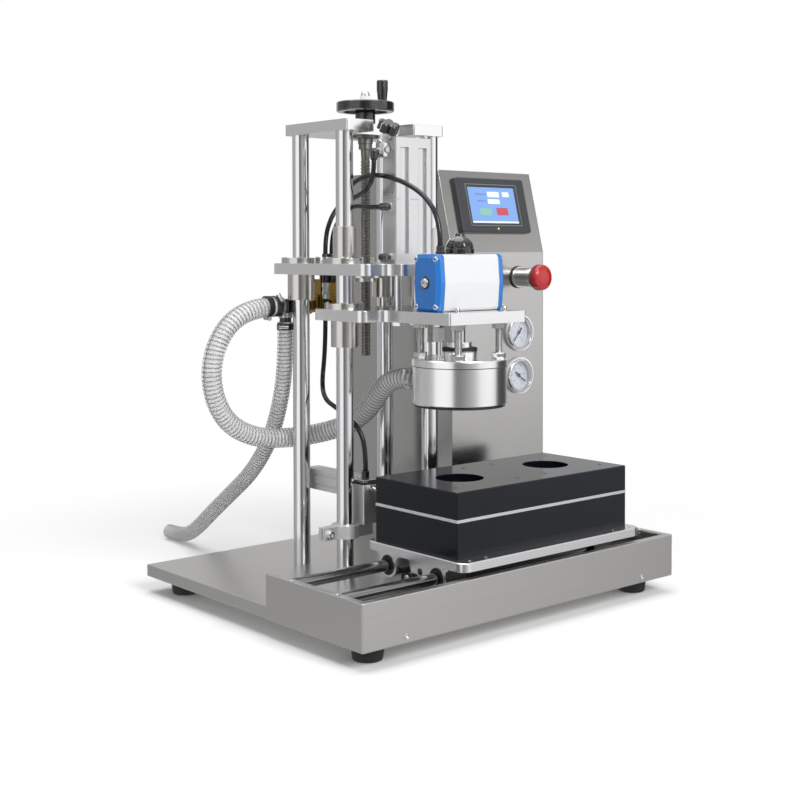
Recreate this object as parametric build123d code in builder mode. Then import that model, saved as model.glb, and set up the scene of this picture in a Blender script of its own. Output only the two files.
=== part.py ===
"""Jar vacuum capping machine: a bench frame with four columns, a hand-set lift carriage,
a pneumatic head with a vacuum chamber and capping chuck, and a two-station slide table.
Millimetres, +X right, +Y back, +Z up, origin on the floor under the middle of the base."""

from build123d import *
from math import cos, pi, radians, sin, tan
import os

os.makedirs("parts", exist_ok=True)

# Clearances between pieces
running = 0.05
free_gap = 0.3

# Base plate, feet and tray skirt
base_w = 590.0
base_d = 508.0
base_t = 17.0
foot_h = 24.0
foot_r = 22.0
foot_taper = 3.0
foot_round = 3.0
foot_inset = 42.0
skirt_t = 2.0
skirt_h = 60.0
skirt_depth = 200.0
skirt_rim = 10.0
skirt_screw_r = 3.2
skirt_screw_inset = 70.0

# Columns, and the plate across their tops
column_r = 12.5
column_x = -31.0
column_y = 62.0
column_dx = 162.0
column_dy = 104.0
plate_t = 16.0
plate_corner = 3.0
top_plate_z = 674.0
top_side_margin = 14.0
top_back_margin = 20.0
left_arm_front = 25.0
right_arm_front = 16.0
left_arm_w = 49.0
right_arm_w = 58.0
notch_to_screw = 32.0
column_screw_r = 4.0
column_screw_len = 20.0
screw_head_r = 6.5
screw_head_h = 8.0

# Slide table on its two rails
head_y = -142.0
station_pitch = 172.0
rail_r = 8.0
rail_z = 72.0
rail_y = -134.0
rail_pitch = 100.0
rail_block_t = 8.0
rail_block_w = 34.0
table_w = 355.0
table_d = 198.0
table_t = 12.0
table_z = 91.0
table_y = -147.0
table_corner = 14.0
bearing_r = 14.0
bearing_wall = 3.0
bearing_len = 36.0
bearing_w = 42.0
bearing_inset = 11.0
hanger_t = 8.0
hanger_top_w = 54.0
hanger_foot_w = 30.0
hanger_h = 32.0
hanger_hole_r = 5.0

# Fixture block that holds two jars
block_w = 336.0
block_d = 166.0
block_lower_h = 48.0
block_divider_h = 4.0
block_upper_h = 36.0
block_edge = 1.0
pocket_r = 33.5
pocket_floor = 20.0
block_screw_dx = 116.0
block_screw_dy = 108.0
block_screw_r = 2.6
block_screw_sink = 5.0

# Lift carriage, its bushes and the lead screw
lift_z = 470.0
carriage_w = 222.0
carriage_arm_w = 143.0
carriage_fillet = 12.0
lift_back = 142.0
lift_step = -72.0
lift_nose = -104.0
bush_r = 20.0
bush_len = 38.0
bush_flange_r = 29.0
bush_flange_t = 8.0
sleeve_r = 16.5
sleeve_len = 53.0
lead_screw_r = 7.0
lead_screw_bottom = 348.0
nut_r = 15.0
nut_len = 12.0
nut_flange_r = 25.0
nut_flange_t = 6.0

# Press cylinder with two rods
cylinder_w = 68.0
cylinder_d = 30.0
cylinder_h = 179.0
cylinder_y = -32.0
cylinder_end_h = 14.0
cylinder_seam_up = 91.0
cylinder_seam = 0.8
slot_w = 15.0
slot_deep = 4.0
slot_inset = 17.0
side_hole_r = 1.6
side_hole_up = 101.0
side_hole_y = -39.0
rod_r = 6.0
rod_pitch = 34.0
rod_nut_r = 9.5
rod_nut_h = 9.0
rod_inside = 160.0

# Head plate, rotary actuator and vacuum chamber
head_z = 406.0
head_back = 42.0
head_step = -65.0
head_front = -200.0
actuator_w = 126.0
actuator_d = 54.0
actuator_h = 78.0
actuator_cap_t = 12.0
actuator_corner = 6.0
cap_taper = 5.0
shaft_r = 8.0
chamber_r = 65.0
chamber_wall = 8.0
chamber_h = 63.0
stud_gap = 49.0
lid_t = 10.0
lid_step = 1.0
seal_t = 2.5
stud_r = 5.0
stud_circle_r = 54.0
stud_nut_r = 8.5
stud_nut_h = 8.0
gland_r = 24.0
gland_h = 14.0
gland_cap_r = 17.0
gland_cap_h = 8.0
port_rise = 29.0
port_angle = 99.5
chuck_r = 36.0
chuck_h = 30.0
chuck_rise = 12.0
chuck_mouth_r = 30.0
chuck_throat_r = 24.0
dome_r = 20.5
dome_h = 28.0
dome_round = 15.0
vent_offset = 42.0
vent_stem_h = 25.0
vent_head_h = 19.0
elbow_offset = 36.0

# Handwheel with its revolving handle
wheel_r = 43.0
wheel_rim_z = 710.0
wheel_rim_h = 14.5
wheel_rim_w = 10.0
wheel_web_h = 7.0
wheel_web_up = 3.0
wheel_edge = 1.5
wheel_hub_r = 15.0
handle_circle_r = 33.0
handle_r = 8.5
handle_foot_r = 6.4
handle_h = 35.0
handle_round = 2.0
handle_pin_r = 4.0
cap_nut_r = 8.0
cap_nut_h = 9.0
cap_nut_dome_r = 6.5

# Control cabinet and what is on its front
cabinet_w = 200.0
cabinet_x = 189.0
cabinet_front = 2.0
cabinet_back_inset = 11.0
cabinet_break_z = 501.0
cabinet_top_z = 628.0
cabinet_slope = 32.0
cabinet_wall = 2.0
panel_mid_z = 573.5
panel_w = 150.0
panel_h = 88.0
panel_t = 7.0
panel_body_w = 136.0
panel_body_h = 74.0
panel_body_t = 30.0
screen_w = 103.0
screen_h = 60.0
gauge_x = 233.0
gauge_zs = (374.0, 306.0)
gauge_r = 29.0
gauge_flange_t = 5.0
gauge_body_r = 24.0
gauge_body_t = 28.0
gauge_dial_r = 22.0
gauge_recess = 6.0
estop_x = 231.0
estop_z = 462.0
estop_collar_r = 14.5
estop_collar_len = 40.0
estop_head_r = 20.0
estop_head_len = 13.0
estop_stem_r = 8.0
estop_travel = 4.0

# Lock pin unit clamped to the front left column
clamp_r = 20.0
clamp_z = 96.0
clamp_h = 18.0
clamp_ear = 42.0
clamp_ear_w = 14.0
clamp_slit = 2.0
clamp_screw_r = 3.0
arm_w = 24.0
lock_x = -84.0
lock_z = 165.0
lock_box_front = -12.0
lock_box_back = 25.0
lock_body_w = 26.0
lock_body_h = 30.0
lock_body_len = 102.0
lock_cap_t = 5.0
pin_r = 4.0
pin_tip = -54.0
pin_stroke = 14.0

# Vacuum valve and tee behind the rear left column
line_y = 144.0
line_z = 422.0
valve_x = -51.0
valve_w = 40.0
valve_d = 28.0
valve_h = 30.0
nipple_r = 8.0
tee_r = 10.0
tee_x = -119.0
tee_left = -128.0
tee_right = -100.0
tee_drop = 24.0

# Hoses, air tubes and their push-in fittings
loop_hose_r = 15.0
pump_hose_r = 12.5
tube_r = 3.5
fitting_r = 5.5
fitting_reach = 10.0
fitting_drop = 12.0
bulkhead_xs = (-62.0, -50.0, -38.0)
bulkhead_y = 120.0
bulkhead_h = 14.0
port_y = -37.0
port_zs = (495.0, 566.5)
throttle_z = 647.0
throttle_w = 14.0
throttle_d = 18.0
throttle_h = 22.0
throttle_y = -28.0
knob_r = 16.0
knob_lobe_r = 6.0
knob_h = 14.0
knob_gap = 17.0
knob_stem_r = 5.0
knob_tilt = 30.0

# Places that follow from the sizes above
base_top = foot_h + base_t
skirt_top = foot_h + skirt_h
base_front = -base_d / 2
base_back = base_d / 2
wall_x = base_w / 2 - skirt_t
column_left = column_x - column_dx / 2
column_right = column_x + column_dx / 2
column_front = column_y - column_dy / 2
column_rear = column_y + column_dy / 2
top_plate_top = top_plate_z + plate_t
rail_ys = (rail_y - rail_pitch / 2, rail_y + rail_pitch / 2)
fixture_x = column_x + station_pitch / 2
table_top = table_z + table_t
bearing_xs = (fixture_x - table_w / 2 + bearing_inset + bearing_len / 2,
              fixture_x + table_w / 2 - bearing_inset - bearing_len / 2)
divider_z = table_top + block_lower_h
upper_z = divider_z + block_divider_h
fixture_top = upper_z + block_upper_h
block_back = head_y + block_d / 2
lift_top = lift_z + plate_t
cylinder_left = column_x - cylinder_w / 2
rod_xs = (column_x - rod_pitch / 2, column_x + rod_pitch / 2)
head_top = head_z + plate_t
chamber_top = head_z - stud_gap
chamber_bottom = chamber_top - chamber_h
port_z = chamber_bottom + port_rise
chuck_z = chamber_bottom + chuck_rise
actuator_top = head_top + actuator_h
stud_places = [(column_x + stud_circle_r * cos(radians(a)), head_y + stud_circle_r * sin(radians(a)))
               for a in (45, 135, 225, 315)]
wheel_top = wheel_rim_z + wheel_rim_h
handle_x = column_x + handle_circle_r
cabinet_back_y = base_back - cabinet_back_inset
slope_rise = cabinet_top_z - cabinet_break_z
panel_mid_y = cabinet_front + cabinet_slope * (panel_mid_z - cabinet_break_z) / slope_rise
lock_body_back = lock_box_back + lock_body_len
fitting_x = cylinder_left - fitting_reach


def save(name, builder):
    """Label a finished piece and write its STEP file."""
    builder.part.label = name
    export_step(builder.part, f"parts/{name}.step")


def facing_front(x, y, z):
    """A plane at a point whose normal points to the front."""
    return Plane(origin=(x, y, z), x_dir=(1, 0, 0), z_dir=(0, -1, 0))


def facing_left(x, y, z):
    """A plane at a point whose normal points to the left."""
    return Plane(origin=(x, y, z), x_dir=(0, -1, 0), z_dir=(-1, 0, 0))


def facing_up(x, y, z):
    """A plane at a point whose normal points up."""
    return Plane(origin=(x, y, z), x_dir=(1, 0, 0), z_dir=(0, 0, 1))


# Base plate
with BuildPart() as base_plate:
    with BuildSketch(Plane.XY.offset(foot_h)):
        with Locations((0, skirt_t / 2)):
            Rectangle(base_w - 2 * skirt_t, base_d - skirt_t)
    extrude(amount=base_t)
    chamfer(base_plate.faces().sort_by(Axis.Z)[-1].edges().sort_by(Axis.Y)[-1], 1)
save("base_plate", base_plate)

# Four rubber feet, narrower at the floor
with BuildPart() as feet:
    with GridLocations(base_w - 2 * foot_inset, base_d - 2 * foot_inset, 2, 2):
        Cone(foot_r - foot_taper, foot_r, foot_h, align=(Align.CENTER, Align.CENTER, Align.MIN))
    fillet(feet.edges().group_by(Axis.Z)[0], foot_round)
save("feet", feet)

# Bent sheet skirt round the front of the base, open at the back, with a folded rim
with BuildPart() as tray_skirt:
    with BuildSketch(Plane.XY.offset(foot_h)):
        with Locations((0, base_front)):
            Rectangle(base_w, skirt_depth, align=(Align.CENTER, Align.MIN))
        with Locations((0, base_front + skirt_t)):
            Rectangle(base_w - 2 * skirt_t, skirt_depth, align=(Align.CENTER, Align.MIN),
                      mode=Mode.SUBTRACT)
    extrude(amount=skirt_h)
    with BuildSketch(Plane.XY.offset(skirt_top - skirt_t)):
        with Locations((0, base_front)):
            Rectangle(base_w, skirt_depth, align=(Align.CENTER, Align.MIN))
        with Locations((0, base_front + skirt_rim)):
            Rectangle(base_w - 2 * skirt_rim, skirt_depth, align=(Align.CENTER, Align.MIN),
                      mode=Mode.SUBTRACT)
    extrude(amount=skirt_t)
    fillet(tray_skirt.edges().filter_by(Axis.Z).group_by(Axis.Y)[0], 2)
    with Locations(facing_front(0, base_front, foot_h + base_t / 2)):
        with Locations((skirt_screw_inset - base_w / 2, 0), (base_w / 2 - skirt_screw_inset, 0)):
            Hole(skirt_screw_r, depth=skirt_t)
save("tray_skirt", tray_skirt)

# Four round columns, tapped at the top
with BuildPart() as columns:
    with Locations(facing_up(column_x, column_y, base_top)):
        with GridLocations(column_dx, column_dy, 2, 2):
            Cylinder(column_r, top_plate_z - base_top, align=(Align.CENTER, Align.CENTER, Align.MIN))
    with Locations(facing_up(column_x, column_y, top_plate_z)):
        with GridLocations(column_dx, column_dy, 2, 2):
            Hole(column_screw_r, depth=column_screw_len)
save("columns", columns)

# Top plate with a deep notch that the press cylinder and its valve rise through
left_edge = column_left - top_side_margin
right_edge = column_right + top_side_margin
back_edge = column_rear + top_back_margin
notch_back = column_y - notch_to_screw
with BuildPart() as top_plate:
    with BuildSketch(Plane.XY.offset(top_plate_z)):
        with BuildLine():
            FilletPolyline(
                (left_edge, back_edge), (right_edge, back_edge),
                (right_edge, column_front - right_arm_front),
                (right_edge - right_arm_w, column_front - right_arm_front),
                (right_edge - right_arm_w, notch_back), (left_edge + left_arm_w, notch_back),
                (left_edge + left_arm_w, column_front - left_arm_front),
                (left_edge, column_front - left_arm_front),
                radius=plate_corner, close=True)
        make_face()
    extrude(amount=plate_t)
    with Locations(facing_up(column_x, column_y, top_plate_top)):
        with GridLocations(column_dx, column_dy, 2, 2):
            CounterBoreHole(column_screw_r, screw_head_r + running, screw_head_h)
        Hole(nut_r)
save("top_plate", top_plate)

# Socket screws: four in the column tops and two in the front of the skirt
with BuildPart() as frame_screws:
    with Locations(facing_up(column_x, column_y, top_plate_top - screw_head_h)):
        with GridLocations(column_dx, column_dy, 2, 2):
            Cylinder(screw_head_r, screw_head_h, align=(Align.CENTER, Align.CENTER, Align.MIN))
            Cylinder(column_screw_r, plate_t - screw_head_h + column_screw_len / 2,
                     align=(Align.CENTER, Align.CENTER, Align.MAX))
    with Locations(facing_front(0, base_front, foot_h + base_t / 2)):
        with Locations((skirt_screw_inset - base_w / 2, 0), (base_w / 2 - skirt_screw_inset, 0)):
            Cylinder(skirt_screw_r, skirt_t, align=(Align.CENTER, Align.CENTER, Align.MAX))
save("frame_screws", frame_screws)

# Flanged bush that carries the lead screw under the top plate
with BuildPart() as screw_bearing:
    with Locations((column_x, column_y, top_plate_z)):
        Cylinder(nut_r, plate_t, align=(Align.CENTER, Align.CENTER, Align.MIN))
        Cylinder(nut_r + 5, 3, align=(Align.CENTER, Align.CENTER, Align.MAX))
        Cylinder(11, 11, align=(Align.CENTER, Align.CENTER, Align.MAX))
        Hole(lead_screw_r + running)
save("screw_bearing", screw_bearing)

# Two round rails and the blocks that hold their ends against the skirt walls
with BuildPart() as rails:
    for y in rail_ys:
        with Locations((0, y, rail_z)):
            Cylinder(rail_r, 2 * wall_x, rotation=(0, 90, 0))
save("rails", rails)

block_top = skirt_top - skirt_t
with BuildPart() as rail_end_blocks:
    for y in rail_ys:
        for side in (-1, 1):
            with Locations((side * (wall_x - rail_block_t / 2), y, base_top)):
                Box(rail_block_t, rail_block_w, block_top - base_top,
                    align=(Align.CENTER, Align.CENTER, Align.MIN))
    fillet(rail_end_blocks.edges().filter_by(Axis.X).group_by(Axis.Z)[-1], 4)
    for y in rail_ys:
        with Locations(facing_left(0, y, rail_z)):
            Hole(rail_r)
save("rail_end_blocks", rail_end_blocks)

# Slide table with rounded corners
with BuildPart() as slide_table:
    with BuildSketch(Plane.XY.offset(table_z)):
        with Locations((fixture_x, table_y)):
            RectangleRounded(table_w, table_d, table_corner)
    extrude(amount=table_t)
    chamfer(slide_table.faces().sort_by(Axis.Z)[-1].edges(), 1)
save("slide_table", slide_table)

# Bearing housings under the table, round below, and a tapered hanger at each end
with BuildPart() as bearing_housings:
    for x in bearing_xs:
        for y in rail_ys:
            with BuildSketch(facing_left(x, y, rail_z)):
                Circle(bearing_r + bearing_wall)
                Rectangle(2 * (bearing_r + bearing_wall), table_z - rail_z, align=(Align.CENTER, Align.MIN))
                with Locations((0, table_z - rail_z)):
                    Rectangle(bearing_w, 7, align=(Align.CENTER, Align.MAX))
                Circle(bearing_r, mode=Mode.SUBTRACT)
            extrude(amount=bearing_len / 2, both=True)
    for x in bearing_xs:
        with BuildSketch(facing_left(x, rail_y, table_z)):
            with BuildLine():
                Polyline((-hanger_top_w / 2, 0), (hanger_top_w / 2, 0), (hanger_foot_w / 2, -hanger_h),
                         (-hanger_foot_w / 2, -hanger_h), close=True)
            make_face()
            with Locations((0, 10 - hanger_h)):
                Circle(hanger_hole_r, mode=Mode.SUBTRACT)
        extrude(amount=hanger_t / 2, both=True)
save("bearing_housings", bearing_housings)

# Linear bearings, one in each housing, standing a little proud of it
with BuildPart() as linear_bearings:
    for x in bearing_xs:
        for y in rail_ys:
            with BuildSketch(facing_left(x, y, rail_z)):
                Circle(bearing_r)
                Circle(rail_r + running, mode=Mode.SUBTRACT)
            extrude(amount=bearing_len / 2 + 1, both=True)
save("linear_bearings", linear_bearings)

# Fixture: lower block, light divider and upper block, with a jar pocket at each station
pockets = ((column_x, head_y), (column_x + station_pitch, head_y))
with BuildPart() as fixture_lower:
    with Locations((fixture_x, head_y, table_top)):
        Box(block_w, block_d, block_lower_h, align=(Align.CENTER, Align.CENTER, Align.MIN))
    chamfer(fixture_lower.edges().filter_by(Axis.Z), block_edge)
    with Locations(*[(x, y, divider_z) for x, y in pockets]):
        Hole(pocket_r, depth=block_lower_h - pocket_floor)
save("fixture_lower", fixture_lower)

with BuildPart() as fixture_divider:
    with Locations((fixture_x, head_y, divider_z)):
        Box(block_w, block_d, block_divider_h, align=(Align.CENTER, Align.CENTER, Align.MIN))
    with Locations(*[(x, y, upper_z) for x, y in pockets]):
        Hole(pocket_r)
save("fixture_divider", fixture_divider)

with BuildPart() as fixture_upper:
    with Locations((fixture_x, head_y, upper_z)):
        Box(block_w, block_d, block_upper_h, align=(Align.CENTER, Align.CENTER, Align.MIN))
    chamfer(fixture_upper.edges().filter_by(Axis.Z), block_edge)
    chamfer(fixture_upper.faces().sort_by(Axis.Z)[-1].edges(), block_edge)
    with Locations(*[(x, y, fixture_top) for x, y in pockets]):
        Hole(pocket_r)
        with GridLocations(block_screw_dx, block_screw_dy, 2, 2):
            Hole(block_screw_r, depth=block_screw_sink)
    with Locations(*[Plane(origin=(lock_x + n * station_pitch, block_back, lock_z), x_dir=(1, 0, 0),
                           z_dir=(0, 1, 0)) for n in (0, 1)]):
        Hole(pin_r + free_gap, depth=pin_stroke)
save("fixture_upper", fixture_upper)


def carriage_outline(back, step, front):
    """Closed outline of a T-shaped carriage plate with filleted steps."""
    half_w = carriage_w / 2
    half_arm = carriage_arm_w / 2
    small = plate_corner
    large = carriage_fillet
    FilletPolyline(
        (column_x - half_w, back), (column_x + half_w, back), (column_x + half_w, step),
        (column_x + half_arm, step), (column_x + half_arm, front), (column_x - half_arm, front),
        (column_x - half_arm, step), (column_x - half_w, step),
        radius=[small, small, large, large, small, small, large, large], close=True)


# Lift carriage plate, guided on all four columns
with BuildPart() as lift_plate:
    with BuildSketch(Plane.XY.offset(lift_z)):
        with BuildLine():
            carriage_outline(lift_back, lift_step, lift_nose)
        make_face()
    extrude(amount=plate_t)
    with Locations(facing_up(column_x, column_y, lift_top)):
        with GridLocations(column_dx, column_dy, 2, 2):
            Hole(bush_r)
        Hole(nut_r)
    with Locations(*[(x, cylinder_y, lift_top) for x in rod_xs]):
        Hole(rod_r + 1)
    with Locations(*[(x, bulkhead_y, lift_top) for x in bulkhead_xs]):
        Hole(fitting_r)
save("lift_plate", lift_plate)

# Flanged bushes: the rear pair hang below the lift plate, the front pair stand on it
with BuildPart() as lift_bushes:
    for x in (column_left, column_right):
        with Locations((x, column_rear, lift_top)):
            Cylinder(bush_flange_r, bush_flange_t, align=(Align.CENTER, Align.CENTER, Align.MIN))
            Cylinder(bush_r, plate_t + bush_len, align=(Align.CENTER, Align.CENTER, Align.MAX))
        with Locations((x, column_front, lift_top)):
            Cylinder(bush_flange_r, bush_flange_t, align=(Align.CENTER, Align.CENTER, Align.MIN))
            Cylinder(sleeve_r, sleeve_len, align=(Align.CENTER, Align.CENTER, Align.MIN))
            Cylinder(bush_r, plate_t, align=(Align.CENTER, Align.CENTER, Align.MAX))
    with Locations(facing_up(column_x, column_y, lift_top + sleeve_len)):
        with GridLocations(column_dx, column_dy, 2, 2):
            Hole(column_r + running)
save("lift_bushes", lift_bushes)

# Flanged nut of the lead screw, let into the lift plate from below
with BuildPart() as lift_nut:
    with Locations((column_x, column_y, lift_z)):
        Cylinder(nut_r, plate_t, align=(Align.CENTER, Align.CENTER, Align.MIN))
        Cylinder(nut_flange_r, nut_flange_t, align=(Align.CENTER, Align.CENTER, Align.MAX))
        Cylinder(nut_r, nut_len, align=(Align.CENTER, Align.CENTER, Align.MAX))
    with Locations((column_x, column_y, lift_top)):
        Hole(lead_screw_r + running)
save("lift_nut", lift_nut)

# Lead screw, turned by the handwheel, held by a collar under its bearing
with BuildPart() as lead_screw:
    with Locations((column_x, column_y, lead_screw_bottom)):
        Cylinder(lead_screw_r, wheel_top - lead_screw_bottom, align=(Align.CENTER, Align.CENTER, Align.MIN))
    with Locations((column_x, column_y, top_plate_z - 11 - free_gap)):
        Cylinder(10, 8, align=(Align.CENTER, Align.CENTER, Align.MAX))
    chamfer(lead_screw.edges().sort_by(Axis.Z)[0], 1)
save("lead_screw", lead_screw)

# Dished handwheel with its handle pin
hub_bottom = top_plate_top + free_gap
web_bottom = wheel_rim_z + wheel_web_up
rim_outer = column_x + wheel_r
rim_inner = rim_outer - wheel_rim_w
pin_top = wheel_top + handle_h - 3
with BuildPart() as handwheel:
    with BuildSketch(Plane.XZ.offset(-column_y)):
        with BuildLine():
            Polyline(
                (column_x + lead_screw_r, hub_bottom), (column_x + wheel_hub_r, hub_bottom),
                (column_x + wheel_hub_r, web_bottom), (rim_inner, web_bottom), (rim_inner, wheel_rim_z),
                (rim_outer - wheel_edge, wheel_rim_z), (rim_outer, wheel_rim_z + wheel_edge),
                (rim_outer, wheel_top - wheel_edge), (rim_outer - wheel_edge, wheel_top),
                (rim_inner, wheel_top), (rim_inner, web_bottom + wheel_web_h),
                (column_x + wheel_hub_r, web_bottom + wheel_web_h), (column_x + wheel_hub_r, wheel_top),
                (column_x + lead_screw_r, wheel_top), close=True)
        make_face()
    revolve(axis=Axis((column_x, column_y, 0), (0, 0, 1)), revolution_arc=360)
    with Locations((handle_x, column_y, web_bottom)):
        Cylinder(handle_r + 1, wheel_top - web_bottom, align=(Align.CENTER, Align.CENTER, Align.MIN))
        Cylinder(handle_pin_r, pin_top - web_bottom, align=(Align.CENTER, Align.CENTER, Align.MIN))
save("handwheel", handwheel)

# Domed nut on top of the lead screw
with BuildPart() as handwheel_nut:
    with BuildSketch(facing_up(column_x, column_y, wheel_top)):
        RegularPolygon(cap_nut_r, 6)
    extrude(amount=cap_nut_h)
    with Locations((column_x, column_y, wheel_top + cap_nut_h + 2)):
        Cylinder(cap_nut_dome_r, 2, align=(Align.CENTER, Align.CENTER, Align.MAX))
        Sphere(cap_nut_dome_r, arc_size1=0, arc_size2=90, align=(Align.CENTER, Align.CENTER, Align.MIN))
save("handwheel_nut", handwheel_nut)

# Revolving handle, narrower at its foot, on the pin of the handwheel
handle_base = wheel_top + free_gap
handle_top = handle_base + handle_h
bore_edge = handle_x + handle_pin_r + running
with BuildPart() as handle_grip:
    with BuildSketch(Plane.XZ.offset(-column_y)):
        with BuildLine():
            Polyline((bore_edge, handle_base), (handle_x + handle_foot_r, handle_base),
                     (handle_x + handle_r, handle_base + 0.6 * handle_h),
                     (handle_x + handle_r, handle_top), (bore_edge, handle_top), close=True)
        make_face()
    revolve(axis=Axis((handle_x, column_y, 0), (0, 0, 1)), revolution_arc=360)
    fillet(handle_grip.edges().group_by(Axis.Z)[-1].sort_by(SortBy.RADIUS)[-1], handle_round)
save("handle_grip", handle_grip)

# Press cylinder: body with wide slots and a seam between its two halves, bored for the two rods
with BuildPart() as press_cylinder:
    with BuildSketch(Plane.XY.offset(lift_top)):
        with Locations((column_x, cylinder_y)):
            Rectangle(cylinder_w, cylinder_d)
    extrude(amount=cylinder_h)
    chamfer(press_cylinder.edges().filter_by(Axis.Z), 1.5)
    with BuildSketch(Plane.XY.offset(lift_top + cylinder_end_h)):
        for side in (-1, 1):
            for face in (-1, 1):
                with Locations((column_x + side * (cylinder_w / 2 - slot_inset),
                                cylinder_y + face * cylinder_d / 2)):
                    Rectangle(slot_w, 2 * slot_deep)
    extrude(amount=cylinder_h - 2 * cylinder_end_h, mode=Mode.SUBTRACT)
    with BuildSketch(facing_up(column_x, cylinder_y, lift_top + cylinder_seam_up)):
        Rectangle(cylinder_w, cylinder_d)
        Rectangle(cylinder_w - 2 * cylinder_seam, cylinder_d - 2 * cylinder_seam, mode=Mode.SUBTRACT)
    extrude(amount=cylinder_seam, mode=Mode.SUBTRACT)
    with Locations(facing_left(cylinder_left, side_hole_y, lift_top + side_hole_up)):
        Hole(side_hole_r, depth=slot_deep)
    with Locations(*[Plane(origin=(x, cylinder_y, lift_top), x_dir=(1, 0, 0), z_dir=(0, 0, -1))
                     for x in rod_xs]):
        Hole(rod_r + running, depth=cylinder_h - 10)
save("press_cylinder", press_cylinder)

# Push-in fittings of the lift: two port elbows, the throttle block with its leaning stem and three bulkheads
knob_lean = Vector(0, -sin(radians(knob_tilt)), cos(radians(knob_tilt)))
throttle_top = Vector(cylinder_left - throttle_w / 2, throttle_y, throttle_z + throttle_h / 2)
knob_seat = throttle_top + knob_lean * knob_gap
knob_plane = Plane(origin=knob_seat, x_dir=(1, 0, 0), z_dir=knob_lean)
with BuildPart() as air_fittings:
    for z in port_zs:
        with Locations((cylinder_left, port_y, z)):
            Cylinder(4, fitting_reach, rotation=(0, -90, 0), align=(Align.CENTER, Align.CENTER, Align.MIN))
        with Locations((fitting_x, port_y, z)):
            Sphere(fitting_r)
            Cylinder(fitting_r, fitting_drop, rotation=(-90, 0, 0),
                     align=(Align.CENTER, Align.CENTER, Align.MIN))
    with Locations((cylinder_left - throttle_w / 2, throttle_y, throttle_z)):
        Box(throttle_w, throttle_d, throttle_h)
    with BuildSketch(knob_plane.offset(-knob_gap)):
        Circle(knob_stem_r)
    extrude(amount=knob_gap - free_gap)
    with Locations((cylinder_left - throttle_w, throttle_y, throttle_z - 3)):
        Cylinder(4, fitting_reach, rotation=(0, -90, 0), align=(Align.CENTER, Align.CENTER, Align.MIN))
    with Locations((cylinder_left - throttle_w - fitting_reach, throttle_y, throttle_z - 3)):
        Sphere(fitting_r)
        Cylinder(fitting_r, fitting_drop, align=(Align.CENTER, Align.CENTER, Align.MAX))
    for x in bulkhead_xs:
        with Locations((x, bulkhead_y, lift_z - bulkhead_h)):
            Cylinder(fitting_r, plate_t + 2 * bulkhead_h, align=(Align.CENTER, Align.CENTER, Align.MIN))
save("air_fittings", air_fittings)

# Five-lobed star knob on the stem of the throttle block, leaning to the front
with BuildPart() as star_knob:
    with BuildSketch(knob_plane):
        Circle(knob_r - knob_lobe_r)
        with PolarLocations(knob_r - knob_lobe_r, 5, start_angle=-90):
            Circle(knob_lobe_r)
    extrude(amount=knob_h)
    chamfer(star_knob.faces().sort_by(Axis(knob_seat, knob_lean))[-1].edges(), 2)
save("star_knob", star_knob)

# Brass vacuum valve behind the lift plate, hung from it by a bent foot
valve_front = line_y - valve_d / 2
with BuildPart() as vacuum_valve:
    with Locations((valve_x, line_y, line_z)):
        Box(valve_w, valve_d, valve_h)
    with Locations((valve_x, line_y, line_z + valve_h / 2)):
        Cylinder(12, 22, align=(Align.CENTER, Align.CENTER, Align.MIN))
    with Locations((valve_x - valve_w / 2, line_y, line_z)):
        Cylinder(nipple_r, valve_x - valve_w / 2 - tee_right, rotation=(0, -90, 0),
                 align=(Align.CENTER, Align.CENTER, Align.MIN))
    with Locations((valve_x, valve_front, lift_z)):
        Box(30, 3, lift_z - line_z + valve_h / 2, align=(Align.CENTER, Align.MAX, Align.MAX))
        Box(30, 14, 3, align=(Align.CENTER, Align.MIN, Align.MAX))
save("vacuum_valve", vacuum_valve)

# Black tee that feeds the loop hose to the left and the pump hose downwards
with BuildPart() as hose_tee:
    with Locations((tee_right, line_y, line_z)):
        Cylinder(tee_r, tee_right - tee_left, rotation=(0, -90, 0),
                 align=(Align.CENTER, Align.CENTER, Align.MIN))
    with Locations((tee_x, line_y, line_z)):
        Cylinder(tee_r - 1, tee_drop, align=(Align.CENTER, Align.CENTER, Align.MAX))
save("hose_tee", hose_tee)

# Head plate, guided on the two front columns
with BuildPart() as head_plate:
    with BuildSketch(Plane.XY.offset(head_z)):
        with BuildLine():
            carriage_outline(head_back, head_step, head_front)
        make_face()
    extrude(amount=plate_t)
    with Locations(*[(x, column_front, head_top) for x in (column_left, column_right)]):
        Hole(bush_r)
    with Locations((column_x, head_y, head_top)):
        Hole(shaft_r + 2)
    with Locations(*[(x, cylinder_y, head_top) for x in rod_xs]):
        Hole(rod_r)
    with Locations(*[Plane(origin=(x, y, head_z), x_dir=(1, 0, 0), z_dir=(0, 0, -1))
                     for x, y in stud_places]):
        Hole(stud_r, depth=plate_t - 4)
save("head_plate", head_plate)

# Flanged bushes of the head plate
with BuildPart() as head_bushes:
    for x in (column_left, column_right):
        with Locations((x, column_front, head_top)):
            Cylinder(bush_flange_r, bush_flange_t, align=(Align.CENTER, Align.CENTER, Align.MIN))
            Cylinder(bush_r, plate_t + bush_len, align=(Align.CENTER, Align.CENTER, Align.MAX))
    with Locations(*[(x, column_front, head_top + bush_flange_t) for x in (column_left, column_right)]):
        Hole(column_r + running)
save("head_bushes", head_bushes)

# Piston rods with the nuts that hold the head plate
with BuildPart() as piston_rods:
    for x in rod_xs:
        with Locations((x, cylinder_y, head_z - rod_nut_h)):
            Cylinder(rod_r, lift_top + rod_inside - head_z + rod_nut_h,
                     align=(Align.CENTER, Align.CENTER, Align.MIN))
        with BuildSketch(facing_up(x, cylinder_y, head_z - rod_nut_h)):
            RegularPolygon(rod_nut_r, 6)
        extrude(amount=rod_nut_h)
save("piston_rods", piston_rods)

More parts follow.
